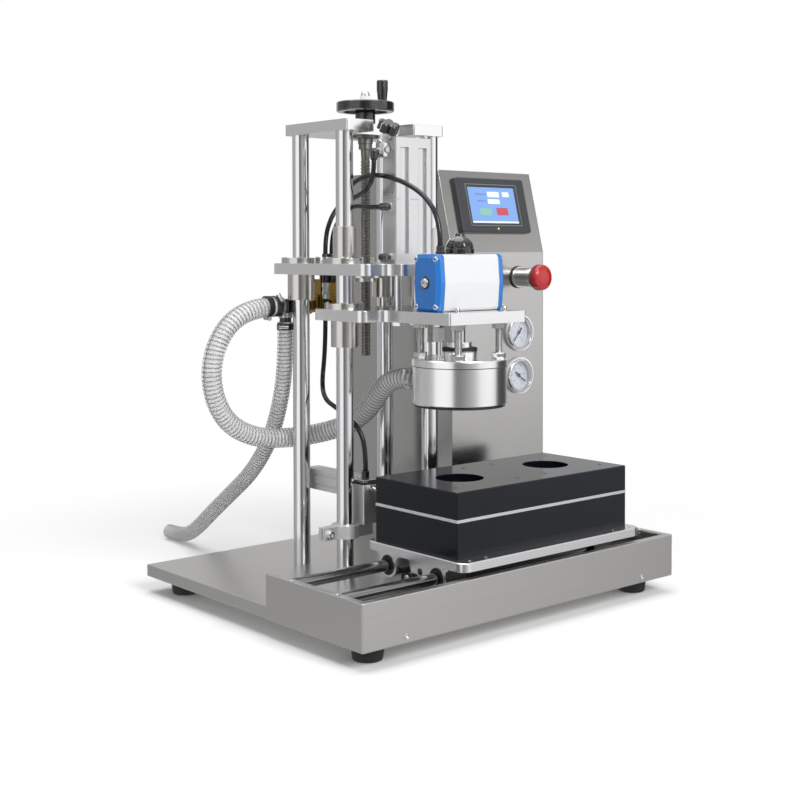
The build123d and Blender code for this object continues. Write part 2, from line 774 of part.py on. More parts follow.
# Rotary actuator body, bored for the spindle
cap_inner = actuator_w / 2 - actuator_cap_t
with BuildPart() as actuator_body:
    with BuildSketch(facing_left(column_x, head_y, head_top)):
        with Locations((0, actuator_h / 2)):
            RectangleRounded(actuator_d, actuator_h, actuator_corner)
    extrude(amount=cap_inner, both=True)
    with Locations((column_x, head_y, actuator_top)):
        Hole(shaft_r + running)
save("actuator_body", actuator_body)

# End caps of the actuator, drawn in towards their outer faces
with BuildPart() as actuator_caps:
    for side in (-1, 1):
        with BuildSketch(Plane(origin=(column_x + side * cap_inner, head_y, head_top), x_dir=(0, 1, 0),
                               z_dir=(side, 0, 0))):
            with Locations((0, side * actuator_h / 2)):
                RectangleRounded(actuator_d, actuator_h, actuator_corner)
        extrude(amount=actuator_cap_t)
    outer = actuator_caps.faces().filter_by(Axis.X).sort_by(Axis.X)
    chamfer(outer[0].edges() + outer[-1].edges(), cap_taper)
    for side in (-1, 1):
        with Locations((column_x + side * (actuator_w / 2 - 1), head_y, head_top + actuator_h / 2)):
            Cylinder(5, 6, rotation=(0, side * 90, 0), align=(Align.CENTER, Align.CENTER, Align.MIN))
save("actuator_caps", actuator_caps)

# Fittings on the head: actuator elbow, vent valve on the lid and hose port in the chamber wall
vent_x = column_x - vent_offset
elbow_x = column_x - elbow_offset
port_dir = Vector(cos(radians(port_angle)), sin(radians(port_angle)), 0)
port_origin = Vector(column_x, head_y, port_z) + port_dir * (chamber_r - chamber_wall + 2)
port_collar = 12.0
with BuildPart() as head_fittings:
    with Locations((elbow_x, head_y, actuator_top)):
        Cylinder(fitting_r, fitting_drop, align=(Align.CENTER, Align.CENTER, Align.MIN))
    with Locations((vent_x, head_y - 6, chamber_top)):
        Cylinder(3.5, vent_stem_h, align=(Align.CENTER, Align.CENTER, Align.MIN))
    with BuildSketch(facing_up(vent_x, head_y - 6, chamber_top + vent_stem_h)):
        RegularPolygon(7, 6)
    extrude(amount=vent_head_h)
    with BuildSketch(Plane(origin=port_origin, z_dir=port_dir)):
        Circle(8)
    extrude(amount=chamber_wall - 2 + port_collar)
    with BuildSketch(Plane(origin=port_origin + port_dir * (chamber_wall - 2 + free_gap), z_dir=port_dir)):
        RegularPolygon(12, 6)
    extrude(amount=port_collar - free_gap)
save("head_fittings", head_fittings)

# Chamber lid, a little wider than the bell, bored for the gland
with BuildPart() as chamber_lid:
    with Locations((column_x, head_y, chamber_top)):
        Cylinder(chamber_r + lid_step, lid_t, align=(Align.CENTER, Align.CENTER, Align.MAX))
    chamfer(chamber_lid.edges().sort_by(Axis.Z)[-1], 1.5)
    with Locations((column_x, head_y, chamber_top)):
        Hole(shaft_r + 4)
save("chamber_lid", chamber_lid)

# Chamber bell, open below, with the hose port through its wall
with BuildPart() as chamber_bell:
    with BuildSketch(facing_up(column_x, head_y, chamber_bottom)):
        Circle(chamber_r)
        Circle(chamber_r - chamber_wall, mode=Mode.SUBTRACT)
    extrude(amount=chamber_top - lid_t - chamber_bottom)
    chamfer(chamber_bell.edges().group_by(Axis.Z)[0].sort_by(SortBy.RADIUS)[-1], 2)
    with BuildSketch(Plane(origin=port_origin - port_dir * 6, z_dir=port_dir)):
        Circle(8)
    extrude(amount=20, mode=Mode.SUBTRACT)
save("chamber_bell", chamber_bell)

# Rubber seal ring under the bell
with BuildPart() as chamber_seal:
    with BuildSketch(facing_up(column_x, head_y, chamber_bottom - seal_t)):
        Circle(chamber_r - 2.5)
        Circle(chamber_r - chamber_wall + 0.5, mode=Mode.SUBTRACT)
    extrude(amount=seal_t)
save("chamber_seal", chamber_seal)

# Four threaded studs with a nut on the lid and one under the plate
with BuildPart() as chamber_studs:
    for x, y in stud_places:
        with Locations((x, y, chamber_top)):
            Cylinder(stud_r, head_z - chamber_top + plate_t - 5,
                     align=(Align.CENTER, Align.CENTER, Align.MIN))
        for z in (chamber_top, head_z - stud_nut_h):
            with BuildSketch(facing_up(x, y, z)):
                RegularPolygon(stud_nut_r, 6)
            extrude(amount=stud_nut_h)
save("chamber_studs", chamber_studs)

# Shaft gland on the lid
with BuildPart() as shaft_gland:
    with Locations((column_x, head_y, chamber_top)):
        Cylinder(gland_r, gland_h, align=(Align.CENTER, Align.CENTER, Align.MIN))
        Cylinder(shaft_r + 4, lid_t, align=(Align.CENTER, Align.CENTER, Align.MAX))
    with Locations((column_x, head_y, chamber_top + gland_h)):
        Cylinder(gland_cap_r, gland_cap_h, align=(Align.CENTER, Align.CENTER, Align.MIN))
    with Locations((column_x, head_y, chamber_top + gland_h + gland_cap_h)):
        Hole(shaft_r + running)
save("shaft_gland", shaft_gland)

# Spindle from the actuator down to the chuck
spindle_bottom = chuck_z + chuck_h
with BuildPart() as spindle_shaft:
    with Locations((column_x, head_y, spindle_bottom)):
        Cylinder(shaft_r, actuator_top + free_gap - spindle_bottom,
                 align=(Align.CENTER, Align.CENTER, Align.MIN))
save("spindle_shaft", spindle_shaft)

# Capping chuck: a cup with a cone that grips the cap
with BuildPart() as capping_chuck:
    with BuildSketch(Plane.XZ.offset(-head_y)):
        with BuildLine():
            Polyline(
                (column_x, spindle_bottom), (column_x + 14, spindle_bottom),
                (column_x + chuck_r, spindle_bottom - 8), (column_x + chuck_r, chuck_z),
                (column_x + chuck_mouth_r, chuck_z), (column_x + chuck_throat_r, chuck_z + 16),
                (column_x, chuck_z + 16), close=True)
        make_face()
    revolve(axis=Axis((column_x, head_y, 0), (0, 0, 1)), revolution_arc=360)
save("capping_chuck", capping_chuck)

# Domed position indicator on top of the spindle
dome_z = actuator_top + free_gap
with BuildPart() as position_indicator:
    with Locations((column_x, head_y, dome_z)):
        Cylinder(dome_r, dome_h, align=(Align.CENTER, Align.CENTER, Align.MIN))
    fillet(position_indicator.edges().sort_by(Axis.Z)[-1], dome_round)
save("position_indicator", position_indicator)

# Cabinet shell with a sloping front, open at the back and below
with BuildPart() as cabinet_shell:
    with BuildSketch(Plane.YZ.offset(cabinet_x - cabinet_w / 2)):
        with BuildLine():
            Polyline(
                (cabinet_front, base_top), (cabinet_front, cabinet_break_z),
                (cabinet_front + cabinet_slope, cabinet_top_z), (cabinet_back_y, cabinet_top_z),
                (cabinet_back_y, base_top), close=True)
        make_face()
    extrude(amount=cabinet_w)
    rear = cabinet_shell.faces().sort_by(Axis.Y)[-1]
    under = cabinet_shell.faces().sort_by(Axis.Z)[0]
    offset(amount=-cabinet_wall, openings=[rear, under])
    face_dir = Vector(0, -(cabinet_top_z - cabinet_break_z), cabinet_slope).normalized()
    panel_plane = Plane(origin=(cabinet_x, panel_mid_y, panel_mid_z), x_dir=(1, 0, 0), z_dir=face_dir)
    with BuildSketch(panel_plane.offset(5)):
        Rectangle(panel_body_w, panel_body_h)
    extrude(amount=-20, mode=Mode.SUBTRACT)
    with Locations(*[facing_front(gauge_x, cabinet_front, z) for z in gauge_zs]):
        Hole(gauge_body_r, depth=2 * cabinet_wall)
    with Locations(facing_front(estop_x, cabinet_front, estop_z)):
        Hole(estop_stem_r + 3, depth=2 * cabinet_wall)
save("cabinet_shell", cabinet_shell)

# Screwed-on cover across the back of the cabinet
with BuildPart() as cabinet_back:
    with Locations((cabinet_x, cabinet_back_y, base_top)):
        Box(cabinet_w, cabinet_wall, cabinet_top_z - base_top, align=(Align.CENTER, Align.MIN, Align.MIN))
    with Locations(Plane(origin=(cabinet_x, cabinet_back_y + cabinet_wall, (base_top + cabinet_top_z) / 2),
                         x_dir=(-1, 0, 0), z_dir=(0, 1, 0))):
        with GridLocations(cabinet_w - 20, (cabinet_top_z - base_top - 20) / 2, 2, 3):
            Cylinder(3.5, 1.5, align=(Align.CENTER, Align.CENTER, Align.MIN))
save("cabinet_back", cabinet_back)

# Operator panel in the sloping face: bezel, body behind it and a recessed screen
with BuildPart() as hmi_housing:
    with BuildSketch(panel_plane):
        RectangleRounded(panel_w, panel_h, 4)
    extrude(amount=panel_t)
    chamfer(hmi_housing.faces().sort_by(Axis(panel_plane.origin, face_dir))[-1].edges(), 1.5)
    with BuildSketch(panel_plane):
        Rectangle(panel_body_w, panel_body_h)
    extrude(amount=-panel_body_t)
    with BuildSketch(panel_plane.offset(panel_t - 1)):
        Rectangle(screen_w, screen_h)
    extrude(amount=5, mode=Mode.SUBTRACT)
save("hmi_housing", hmi_housing)

# Two panel gauges with a recessed dial
with BuildPart() as gauge_cases:
    with Locations(*[facing_front(gauge_x, cabinet_front, z) for z in gauge_zs]):
        Cylinder(gauge_r, gauge_flange_t, align=(Align.CENTER, Align.CENTER, Align.MIN))
        Cylinder(gauge_body_r, gauge_body_t, align=(Align.CENTER, Align.CENTER, Align.MAX))
    with Locations(*[facing_front(gauge_x, cabinet_front - gauge_flange_t, z) for z in gauge_zs]):
        Hole(gauge_dial_r, depth=gauge_recess)
    with Locations(*[facing_front(gauge_x, cabinet_front - gauge_flange_t + gauge_recess, z)
                     for z in gauge_zs]):
        Hole(1.5 + running, depth=6)
save("gauge_cases", gauge_cases)

# One needle for each gauge, on a pin in the middle of the dial
dial_y = cabinet_front - gauge_flange_t + gauge_recess
for name, z, turn in (("needle_upper", gauge_zs[0], 140), ("needle_lower", gauge_zs[1], -125)):
    with BuildPart() as needle:
        with BuildSketch(facing_front(gauge_x, dial_y - 1.5, z)):
            Circle(3)
            with Locations(Location((0, 0, 0), (0, 0, turn))):
                Rectangle(1.4, gauge_dial_r - 4, align=(Align.CENTER, Align.MIN))
                Rectangle(2.6, 9, align=(Align.CENTER, Align.MAX))
        extrude(amount=1)
        with Locations(facing_front(gauge_x, dial_y - 1.5, z)):
            Cylinder(1.5, 6, align=(Align.CENTER, Align.CENTER, Align.MAX))
    save(name, needle)

# Emergency stop: collar on the cabinet and the red head that pushes in
with BuildPart() as estop_collar:
    with Locations(facing_front(estop_x, cabinet_front, estop_z)):
        Cylinder(estop_collar_r, estop_collar_len, align=(Align.CENTER, Align.CENTER, Align.MIN))
        Cylinder(estop_collar_r + 2, 4, align=(Align.CENTER, Align.CENTER, Align.MIN))
        Cylinder(estop_stem_r + 3, 12, align=(Align.CENTER, Align.CENTER, Align.MAX))
    with Locations(facing_front(estop_x, cabinet_front - estop_collar_len, estop_z)):
        Hole(estop_stem_r + running, depth=estop_collar_len)
save("estop_collar", estop_collar)

head_back_y = cabinet_front - estop_collar_len - estop_travel - free_gap
with BuildPart() as estop_head:
    with Locations(facing_front(estop_x, head_back_y, estop_z)):
        Cylinder(estop_head_r, estop_head_len, align=(Align.CENTER, Align.CENTER, Align.MIN))
    fillet(estop_head.edges().sort_by(Axis.Y)[0], 5)
    with Locations(facing_front(estop_x, head_back_y, estop_z)):
        Cylinder(estop_stem_r, 30, align=(Align.CENTER, Align.CENTER, Align.MAX))
save("estop_head", estop_head)

# Split clamp on the front left column with the arm that carries the lock unit
arm_right = lock_x + lock_body_w / 2
with BuildPart() as column_clamp:
    with Locations((column_left, column_front, clamp_z)):
        Cylinder(clamp_r, clamp_h, align=(Align.CENTER, Align.CENTER, Align.MIN))
        Box(arm_right - column_left, arm_w, clamp_h, align=(Align.MIN, Align.CENTER, Align.MIN))
        Box(clamp_ear, clamp_ear_w, clamp_h, align=(Align.MAX, Align.CENTER, Align.MIN))
        Box(clamp_ear + 5, clamp_slit, clamp_h, align=(Align.MAX, Align.CENTER, Align.MIN),
            mode=Mode.SUBTRACT)
    with Locations((column_left, column_front, clamp_z + clamp_h)):
        Hole(column_r)
    with Locations(facing_front(column_left - clamp_ear + 8, column_front - clamp_ear_w / 2,
                                clamp_z + clamp_h / 2)):
        Cylinder(5, 5, align=(Align.CENTER, Align.CENTER, Align.MIN))
        Cylinder(clamp_screw_r, clamp_ear_w + 4, align=(Align.CENTER, Align.CENTER, Align.MAX))
save("column_clamp", column_clamp)

# Bracket box of the lock unit, bored for the pin
clamp_top = clamp_z + clamp_h
lock_mid_y = (lock_box_front + lock_box_back) / 2
box_top = lock_z + lock_body_h / 2 - 3
with BuildPart() as lock_bracket:
    with Locations((lock_x, lock_mid_y, clamp_top)):
        Box(lock_body_w - 2, lock_box_back - lock_box_front, box_top - clamp_top,
            align=(Align.CENTER, Align.CENTER, Align.MIN))
    fillet(lock_bracket.edges().filter_by(Axis.Z), 2)
    with Locations(facing_front(lock_x, lock_box_front, lock_z)):
        Hole(pin_r + running)
save("lock_bracket", lock_bracket)

# Small slotted cylinder along Y with its end cap
with BuildPart() as lock_cylinder:
    with BuildSketch(facing_front(lock_x, lock_box_back, lock_z)):
        Rectangle(lock_body_w, lock_body_h)
        for side in (-1, 1):
            with Locations((side * lock_body_w / 2, 7), (side * lock_body_w / 2, -7)):
                Rectangle(4, 3, mode=Mode.SUBTRACT)
        Circle(pin_r + running, mode=Mode.SUBTRACT)
    extrude(amount=-(lock_body_len - lock_cap_t))
    with BuildSketch(facing_front(lock_x, lock_body_back, lock_z)):
        Rectangle(lock_body_w, lock_body_h)
    extrude(amount=lock_cap_t)
save("lock_cylinder", lock_cylinder)

with BuildPart() as lock_pin:
    with Locations(facing_front(lock_x, pin_tip, lock_z)):
        Cylinder(pin_r, lock_box_back - pin_tip + 35, align=(Align.CENTER, Align.CENTER, Align.MAX))
    chamfer(lock_pin.edges().sort_by(Axis.Y)[0], 1.5)
save("lock_pin", lock_pin)

with BuildPart() as lock_fitting:
    with Locations((lock_x, lock_mid_y - 8, box_top)):
        Cylinder(fitting_r, fitting_drop, align=(Align.CENTER, Align.CENTER, Align.MIN))
save("lock_fitting", lock_fitting)


def corner_radii(points):
    """Radius of the arc at each inner point: 0.45 of the shorter run over the tangent of half the turn."""
    radii = []
    for before, here, after in zip(points, points[1:], points[2:]):
        first = Vector(*here) - Vector(*before)
        second = Vector(*after) - Vector(*here)
        half_turn = radians(first.get_angle(second)) / 2
        radii.append(0.45 * min(first.length, second.length) / tan(half_turn))
    return radii


def hose(name, points, radius):
    """A round hose along straight runs joined by tangent arcs."""
    radii = corner_radii(points)
    start = Vector(*points[0])
    with BuildPart() as tube:
        with BuildLine() as route:
            FilletPolyline(*points, radius=radii)
        with BuildSketch(Plane(origin=start, z_dir=Vector(*points[1]) - start)):
            Circle(radius)
        sweep()
    length = sum(edge.length for edge in route.edges())
    print(f"{name}: length {length:.1f}, volume ratio {tube.part.volume / (pi * radius ** 2 * length):.4f},",
          "radii in diameters", [round(r / (2 * radius), 1) for r in radii])
    save(name, tube)


# Vacuum hose from the tee, round the rear left column and forward to the chamber
port_end = port_origin + port_dir * (chamber_wall - 2 + port_collar + free_gap)
port_lead = port_end + port_dir * 28
loop_points = [
    (tee_left, line_y, line_z), (-172, line_y, line_z), (-219, 145, 402), (-246, 148, 356),
    (-245, 152, 302), (-217, 156, 253), (-166, 158, 227), (-110, 150, 222), (-70, 118, 230),
    (-50, 74, 246), (-47, 34, 272), (-50, 5, 302), (-50.5, -16, 316),
    (port_lead.X, port_lead.Y, port_lead.Z), (port_end.X, port_end.Y, port_end.Z)]
hose("loop_hose", loop_points, loop_hose_r)

# Hose towards the vacuum pump: down behind the base, its cut end on the floor
pump_points = [
    (tee_x, line_y, line_z - tee_drop), (tee_x, line_y, 343), (-117, 160, 276), (-114, 194, 212),
    (-110, 248, 158), (-102, 318, 115), (-94, 390, 71), (-86, 450, 33), (-80, 500, pump_hose_r),
    (-78, 552, pump_hose_r)]
hose("pump_hose", pump_points, pump_hose_r)

# Air tubes
top_z = throttle_z - 3 - fitting_drop
tube_top_points = [
    (fitting_x - throttle_w, throttle_y, top_z), (fitting_x - throttle_w, throttle_y, 610), (-86, -8, 590),
    (-82, 28, 580), (-76, 66, 573), (-68, 98, 554), (bulkhead_xs[0], bulkhead_y, 526),
    (bulkhead_xs[0], bulkhead_y, lift_top + bulkhead_h)]
hose("tube_top", tube_top_points, tube_r)

tube_port_points = [
    (fitting_x, port_y + fitting_drop, port_zs[1]), (fitting_x, 2, port_zs[1]), (-68, 34, 570),
    (-61, 66, 567), (-53, 98, 552), (bulkhead_xs[1], bulkhead_y, 526),
    (bulkhead_xs[1], bulkhead_y, lift_top + bulkhead_h)]
hose("tube_port", tube_port_points, tube_r)

tube_actuator_points = [
    (elbow_x, head_y, actuator_top + fitting_drop), (elbow_x, head_y, 544), (-67, -114, 579), (-69, -67, 602),
    (-75, -16, 614), (-72, 34, 608), (-60, 78, 586), (-45, 110, 548), (bulkhead_xs[2], bulkhead_y, 522),
    (bulkhead_xs[2], bulkhead_y, lift_top + bulkhead_h)]
hose("tube_actuator", tube_actuator_points, tube_r)

tube_supply_points = [
    (bulkhead_xs[0], bulkhead_y, lift_z - bulkhead_h), (bulkhead_xs[0], bulkhead_y, 403),
    (-63, 121, 348), (-72, 117, 303), (-88, 88, 284), (-92, 56, 275), (-90, 27, 263), (-86, 6, 244),
    (lock_x, lock_mid_y - 8, 218),
    (lock_x, lock_mid_y - 8, box_top + fitting_drop)]
hose("tube_supply", tube_supply_points, tube_r)
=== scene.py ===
import bpy
from math import cos, pi, radians, sin
from mathutils import Matrix, Vector


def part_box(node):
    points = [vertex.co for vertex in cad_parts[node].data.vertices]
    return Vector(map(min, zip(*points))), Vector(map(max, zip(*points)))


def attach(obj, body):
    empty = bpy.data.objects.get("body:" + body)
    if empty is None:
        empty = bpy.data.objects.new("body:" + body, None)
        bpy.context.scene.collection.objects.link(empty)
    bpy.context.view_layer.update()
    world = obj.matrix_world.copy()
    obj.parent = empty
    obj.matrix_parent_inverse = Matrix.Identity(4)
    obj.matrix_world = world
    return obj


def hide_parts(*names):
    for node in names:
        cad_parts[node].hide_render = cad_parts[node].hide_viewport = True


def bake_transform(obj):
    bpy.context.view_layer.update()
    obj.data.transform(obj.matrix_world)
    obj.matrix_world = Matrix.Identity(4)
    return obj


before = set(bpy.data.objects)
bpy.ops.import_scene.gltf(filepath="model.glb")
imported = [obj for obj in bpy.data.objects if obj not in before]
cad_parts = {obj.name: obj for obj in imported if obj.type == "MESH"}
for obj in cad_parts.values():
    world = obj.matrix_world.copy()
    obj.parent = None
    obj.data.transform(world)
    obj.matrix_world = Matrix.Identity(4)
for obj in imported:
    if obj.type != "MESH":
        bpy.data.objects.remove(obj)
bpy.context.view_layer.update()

# Sizes that this script shares with the solid model, in millimetres
COLUMN_R = 12.5
RAIL_R = 8.0
BUSH_SCREW_CIRCLE = 24.5
STUD_REACH = 54 * cos(radians(45))
STUD_R = 5.0
STUD_NUT_H = 8.0
LEAD_SCREW_R = 7.0
LEAD_SCREW_PITCH = 5.0
FITTING_R = 5.5
LOOP_HOSE_R = 0.015
LOOP_PITCH = 0.0060
PUMP_HOSE_R = 0.0125
PUMP_PITCH = 0.0056
TUBE_R = 0.0035


def mm(x, y, z):
    """A point given in millimetres, in metres."""
    return Vector((x, y, z)) / 1000


def corners(node):
    """Lowest and highest corner of a CAD node in millimetres."""
    low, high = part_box(node)
    return Vector(low) * 1000, Vector(high) * 1000


def middle(node):
    low, high = corners(node)
    return (low + high) / 2


def top(node):
    return corners(node)[1].z


def bottom(node):
    return corners(node)[0].z


columns_low, columns_high = corners("columns")
COLUMN_XS = (columns_low.x + COLUMN_R, columns_high.x - COLUMN_R)
COLUMN_YS = (columns_low.y + COLUMN_R, columns_high.y - COLUMN_R)
SCREW_X, SCREW_Y = middle("lead_screw").xy
HEAD_X, HEAD_Y = middle("chamber_lid").xy
CYLINDER = corners("press_cylinder")
TABLE = corners("slide_table")
GAUGE_X = middle("needle_upper").x
RAIL_YS = (corners("rails")[0].y + RAIL_R, corners("rails")[1].y - RAIL_R)

# Shader parts


def group_socket(group, name, kind, default=None, out=False):
    socket = group.interface.new_socket(name=name, in_out="OUTPUT" if out else "INPUT", socket_type=kind)
    if default is not None:
        socket.default_value = default


def add_node(tree, kind, **values):
    node = tree.nodes.new(kind)
    for name, value in values.items():
        setattr(node, name, value)
    return node


def link(tree, start, end):
    tree.links.new(start, end)


def feed(tree, socket, value):
    """Set a socket to a number, or link it to another socket."""
    if isinstance(value, (int, float)):
        socket.default_value = value
    else:
        link(tree, value, socket)


def calc(tree, operation, first, second=0.0, third=0.0):
    node = add_node(tree, "ShaderNodeMath", operation=operation)
    for socket, value in zip(node.inputs, (first, second, third)):
        feed(tree, socket, value)
    return node.outputs["Value"]


def remap(tree, value, low, high, start=0.0, end=1.0, smooth=False):
    """Turn a value between start and end into one between low and high."""
    node = add_node(tree, "ShaderNodeMapRange", interpolation_type="SMOOTHSTEP" if smooth else "LINEAR")
    feed(tree, node.inputs["Value"], value)
    feed(tree, node.inputs["From Min"], start)
    feed(tree, node.inputs["From Max"], end)
    feed(tree, node.inputs["To Min"], low)
    feed(tree, node.inputs["To Max"], high)
    return node.outputs["Result"]


def mixed(tree, factor, first, second, kind="MIX"):
    """Mix two colours, or a colour and a grey value, by a factor."""
    node = add_node(tree, "ShaderNodeMix", data_type="RGBA", blend_type=kind)
    feed(tree, node.inputs["Factor"], factor)
    for name, value in (("A", first), ("B", second)):
        if isinstance(value, tuple):
            node.inputs[name].default_value = value
        else:
            link(tree, value, node.inputs[name])
    return node.outputs["Result"]


def noise(tree, place, scale, detail, roughness=0.5):
    node = add_node(tree, "ShaderNodeTexNoise")
    link(tree, place, node.inputs["Vector"])
    feed(tree, node.inputs["Scale"], scale)
    node.inputs["Detail"].default_value = detail
    node.inputs["Roughness"].default_value = roughness
    return node.outputs["Fac"]


def surface_group(name):
    """A group that puts out a colour, a roughness and a height, with the inputs that all finishes have."""
    group = bpy.data.node_groups.new(name, "ShaderNodeTree")
    group_socket(group, "Color", "NodeSocketColor", (0.5, 0.5, 0.5, 1))
    group_socket(group, "Contrast", "NodeSocketFloat", 0.1)
    group_socket(group, "Roughness", "NodeSocketFloat", 0.3)
    group_socket(group, "Spread", "NodeSocketFloat", 0.1)
    group_socket(group, "Color", "NodeSocketColor", out=True)
    group_socket(group, "Roughness", "NodeSocketFloat", out=True)
    group_socket(group, "Height", "NodeSocketFloat", out=True)
    given = add_node(group, "NodeGroupInput")
    made = add_node(group, "NodeGroupOutput")
    place = add_node(group, "ShaderNodeTexCoord").outputs["Object"]
    return group, given, made, place


def finish_group(group, given, made, tone, change, height):
    """Darken the colour where tone is low, and let the roughness follow change about its middle."""
    least = calc(group, "SUBTRACT", 1.0, given.outputs["Contrast"])
    shade = remap(group, tone, least, 1.0)
    link(group, mixed(group, 1.0, given.outputs["Color"], shade, "MULTIPLY"), made.inputs["Color"])
    centred = calc(group, "SUBTRACT", change, 0.5)
    rough = calc(group, "MULTIPLY_ADD", centred, given.outputs["Spread"], given.outputs["Roughness"])
    link(group, rough, made.inputs["Roughness"])
    link(group, height, made.inputs["Height"])
    return group


def build_grain_group():
    """Drawn marks of brushed, ground or turned metal, with broad handling marks under them."""
    group, given, made, place = surface_group("Metal grain")
    group_socket(group, "Stretch", "NodeSocketVector", (40, 40, 40))
    scaled = add_node(group, "ShaderNodeVectorMath", operation="MULTIPLY")
    link(group, place, scaled.inputs[0])
    link(group, given.outputs["Stretch"], scaled.inputs[1])
    fine = noise(group, scaled.outputs["Vector"], 1, 4, 0.7)
    broad = noise(group, place, 6, 2)
    both = calc(group, "MULTIPLY", calc(group, "ADD", fine, broad), 0.5)
    return finish_group(group, given, made, fine, both, fine)


def build_mould_group():
    """Fine moulded, cast or sprayed texture with a broad change of tone, for plastic, rubber and paint."""
    group, given, made, place = surface_group("Moulded surface")
    group_socket(group, "Texture size", "NodeSocketFloat", 900)
    pores = noise(group, place, given.outputs["Texture size"], 3)
    broad = noise(group, place, 14, 5)
    return finish_group(group, given, made, broad, broad, pores)


EDGE_STARTS = 0.995
EDGE_FULL = 0.86


def build_edge_group():
    """Normals that round the edges over a radius, and a mask of where the edges are."""
    group = bpy.data.node_groups.new("Rounded edges", "ShaderNodeTree")
    group_socket(group, "Radius", "NodeSocketFloat", 0.0006)
    group_socket(group, "Normal", "NodeSocketVector", out=True)
    group_socket(group, "Edge", "NodeSocketFloat", out=True)
    given = add_node(group, "NodeGroupInput")
    made = add_node(group, "NodeGroupOutput")
    bevel = add_node(group, "ShaderNodeBevel", samples=4)
    link(group, given.outputs["Radius"], bevel.inputs["Radius"])
    flat = add_node(group, "ShaderNodeNewGeometry").outputs["Normal"]
    turn = add_node(group, "ShaderNodeVectorMath", operation="DOT_PRODUCT")
    link(group, bevel.outputs["Normal"], turn.inputs[0])
    link(group, flat, turn.inputs[1])
    link(group, remap(group, turn.outputs["Value"], 0.0, 1.0, EDGE_STARTS, EDGE_FULL), made.inputs["Edge"])
    link(group, bevel.outputs["Normal"], made.inputs["Normal"])
    return group


grain_group = build_grain_group()
mould_group = build_mould_group()
edge_group = build_edge_group()


def finished(name, group, values, depth, edge, edge_wear_and_highlight_tone):
    """A material with a finish group, its relief, and edges that are rounded and lightened in colour,
    partly as wear and partly as a painted highlight.
    """
    material = bpy.data.materials.new(name)
    material.use_nodes = True
    tree = material.node_tree
    shader = tree.nodes["Principled BSDF"]
    surface = add_node(tree, "ShaderNodeGroup", node_tree=group)
    for socket, value in values.items():
        surface.inputs[socket].default_value = value
    link(tree, surface.outputs["Roughness"], shader.inputs["Roughness"])
    bump = add_node(tree, "ShaderNodeBump")
    bump.inputs["Distance"].default_value = depth
    link(tree, surface.outputs["Height"], bump.inputs["Height"])
    link(tree, bump.outputs["Normal"], shader.inputs["Normal"])
    color = surface.outputs["Color"]
    if edge:
        rounded = add_node(tree, "ShaderNodeGroup", node_tree=edge_group)
        rounded.inputs["Radius"].default_value = edge / 1000
        link(tree, rounded.outputs["Normal"], bump.inputs["Normal"])
        # The edge mask mixes the colour towards a lighter edge tone: partly wear, partly a painted
        # highlight on the rounded edge.
        color = mixed(tree, rounded.outputs["Edge"], color, (*edge_wear_and_highlight_tone, 1))
    link(tree, color, shader.inputs["Base Color"])
    return material, tree, shader


def metal(name, color, roughness, stretch, contrast=0.12, spread=0.12, depth=0.00001, edge=0.6,
          edge_wear_and_highlight_tone=None):
    material, tree, shader = finished(name, grain_group, {
        "Color": (*color, 1), "Stretch": stretch, "Contrast": contrast, "Roughness": roughness,
        "Spread": spread}, depth, edge, edge_wear_and_highlight_tone or color)
    shader.inputs["Metallic"].default_value = 1
    return material


def moulded(name, color, roughness, texture=900, contrast=0.2, spread=0.2, depth=0.00002, edge=0.5,
            edge_wear_and_highlight_tone=None, coat=0.0, specular=0.5):
    material, tree, shader = finished(name, mould_group, {
        "Color": (*color, 1), "Texture size": texture, "Contrast": contrast, "Roughness": roughness,
        "Spread": spread}, depth, edge, edge_wear_and_highlight_tone or color)
    shader.inputs["Coat Weight"].default_value = coat
    shader.inputs["Coat Roughness"].default_value = 0.1
    shader.inputs["Specular IOR Level"].default_value = specular
    return material


def glowing(name, color, strength):
    material, tree, shader = finished(name, mould_group, {
        "Color": (*color, 1), "Texture size": 60, "Contrast": 0.12, "Roughness": 0.25, "Spread": 0.02},
        0.00001, 0, color)
    link(tree, shader.inputs["Base Color"].links[0].from_socket, shader.inputs["Emission Color"])
    shader.inputs["Emission Strength"].default_value = strength
    return material


def clear(name, color, roughness, face_on, edge_on):
    """Clear plastic or glass that gets denser where the wall is seen edge on."""
    material, tree, shader = finished(name, mould_group, {
        "Color": (*color, 1), "Texture size": 200, "Contrast": 0.1, "Roughness": roughness,
        "Spread": 0.1}, 0.00001, 0, color)
    facing = add_node(tree, "ShaderNodeLayerWeight")
    facing.inputs["Blend"].default_value = 0.5
    steep = calc(tree, "POWER", facing.outputs["Facing"], 3.0)
    link(tree, remap(tree, steep, face_on, edge_on), shader.inputs["Alpha"])
    return material


# Finishes; the lighter edge tones given below are partly wear and partly a painted highlight along the
# edges
steel_long = metal("stainless brushed along the base", (0.63, 0.62, 0.605), 0.3, (5, 1100, 1100), 0.16,
                   edge=2.2, edge_wear_and_highlight_tone=(0.8, 0.8, 0.79))
steel_upright = metal("stainless brushed upright", (0.52, 0.515, 0.505), 0.22, (1100, 1100, 5), 0.14,
                      edge=1.6)
chrome = metal("hard chrome", (0.80, 0.80, 0.815), 0.13, (60, 60, 1500), 0.03, 0.02, 0.0000004)
rail_steel = metal("ground rail steel", (0.34, 0.34, 0.35), 0.2, (1500, 60, 60), 0.1, 0.05, 0.000001)
turned_steel = metal("turned steel", (0.70, 0.68, 0.65), 0.2, (40, 40, 1800), 0.2, 0.1, 0.000004)
screw_steel = metal("oiled screw steel", (0.26, 0.245, 0.22), 0.34, (300, 300, 900), 0.3, 0.2, 0.00001)
plate_silver = metal("clear anodised plate", (0.86, 0.86, 0.87), 0.24, (12, 900, 700), 0.08, 0.08,
                     0.000006, 0.8, (0.95, 0.95, 0.96))
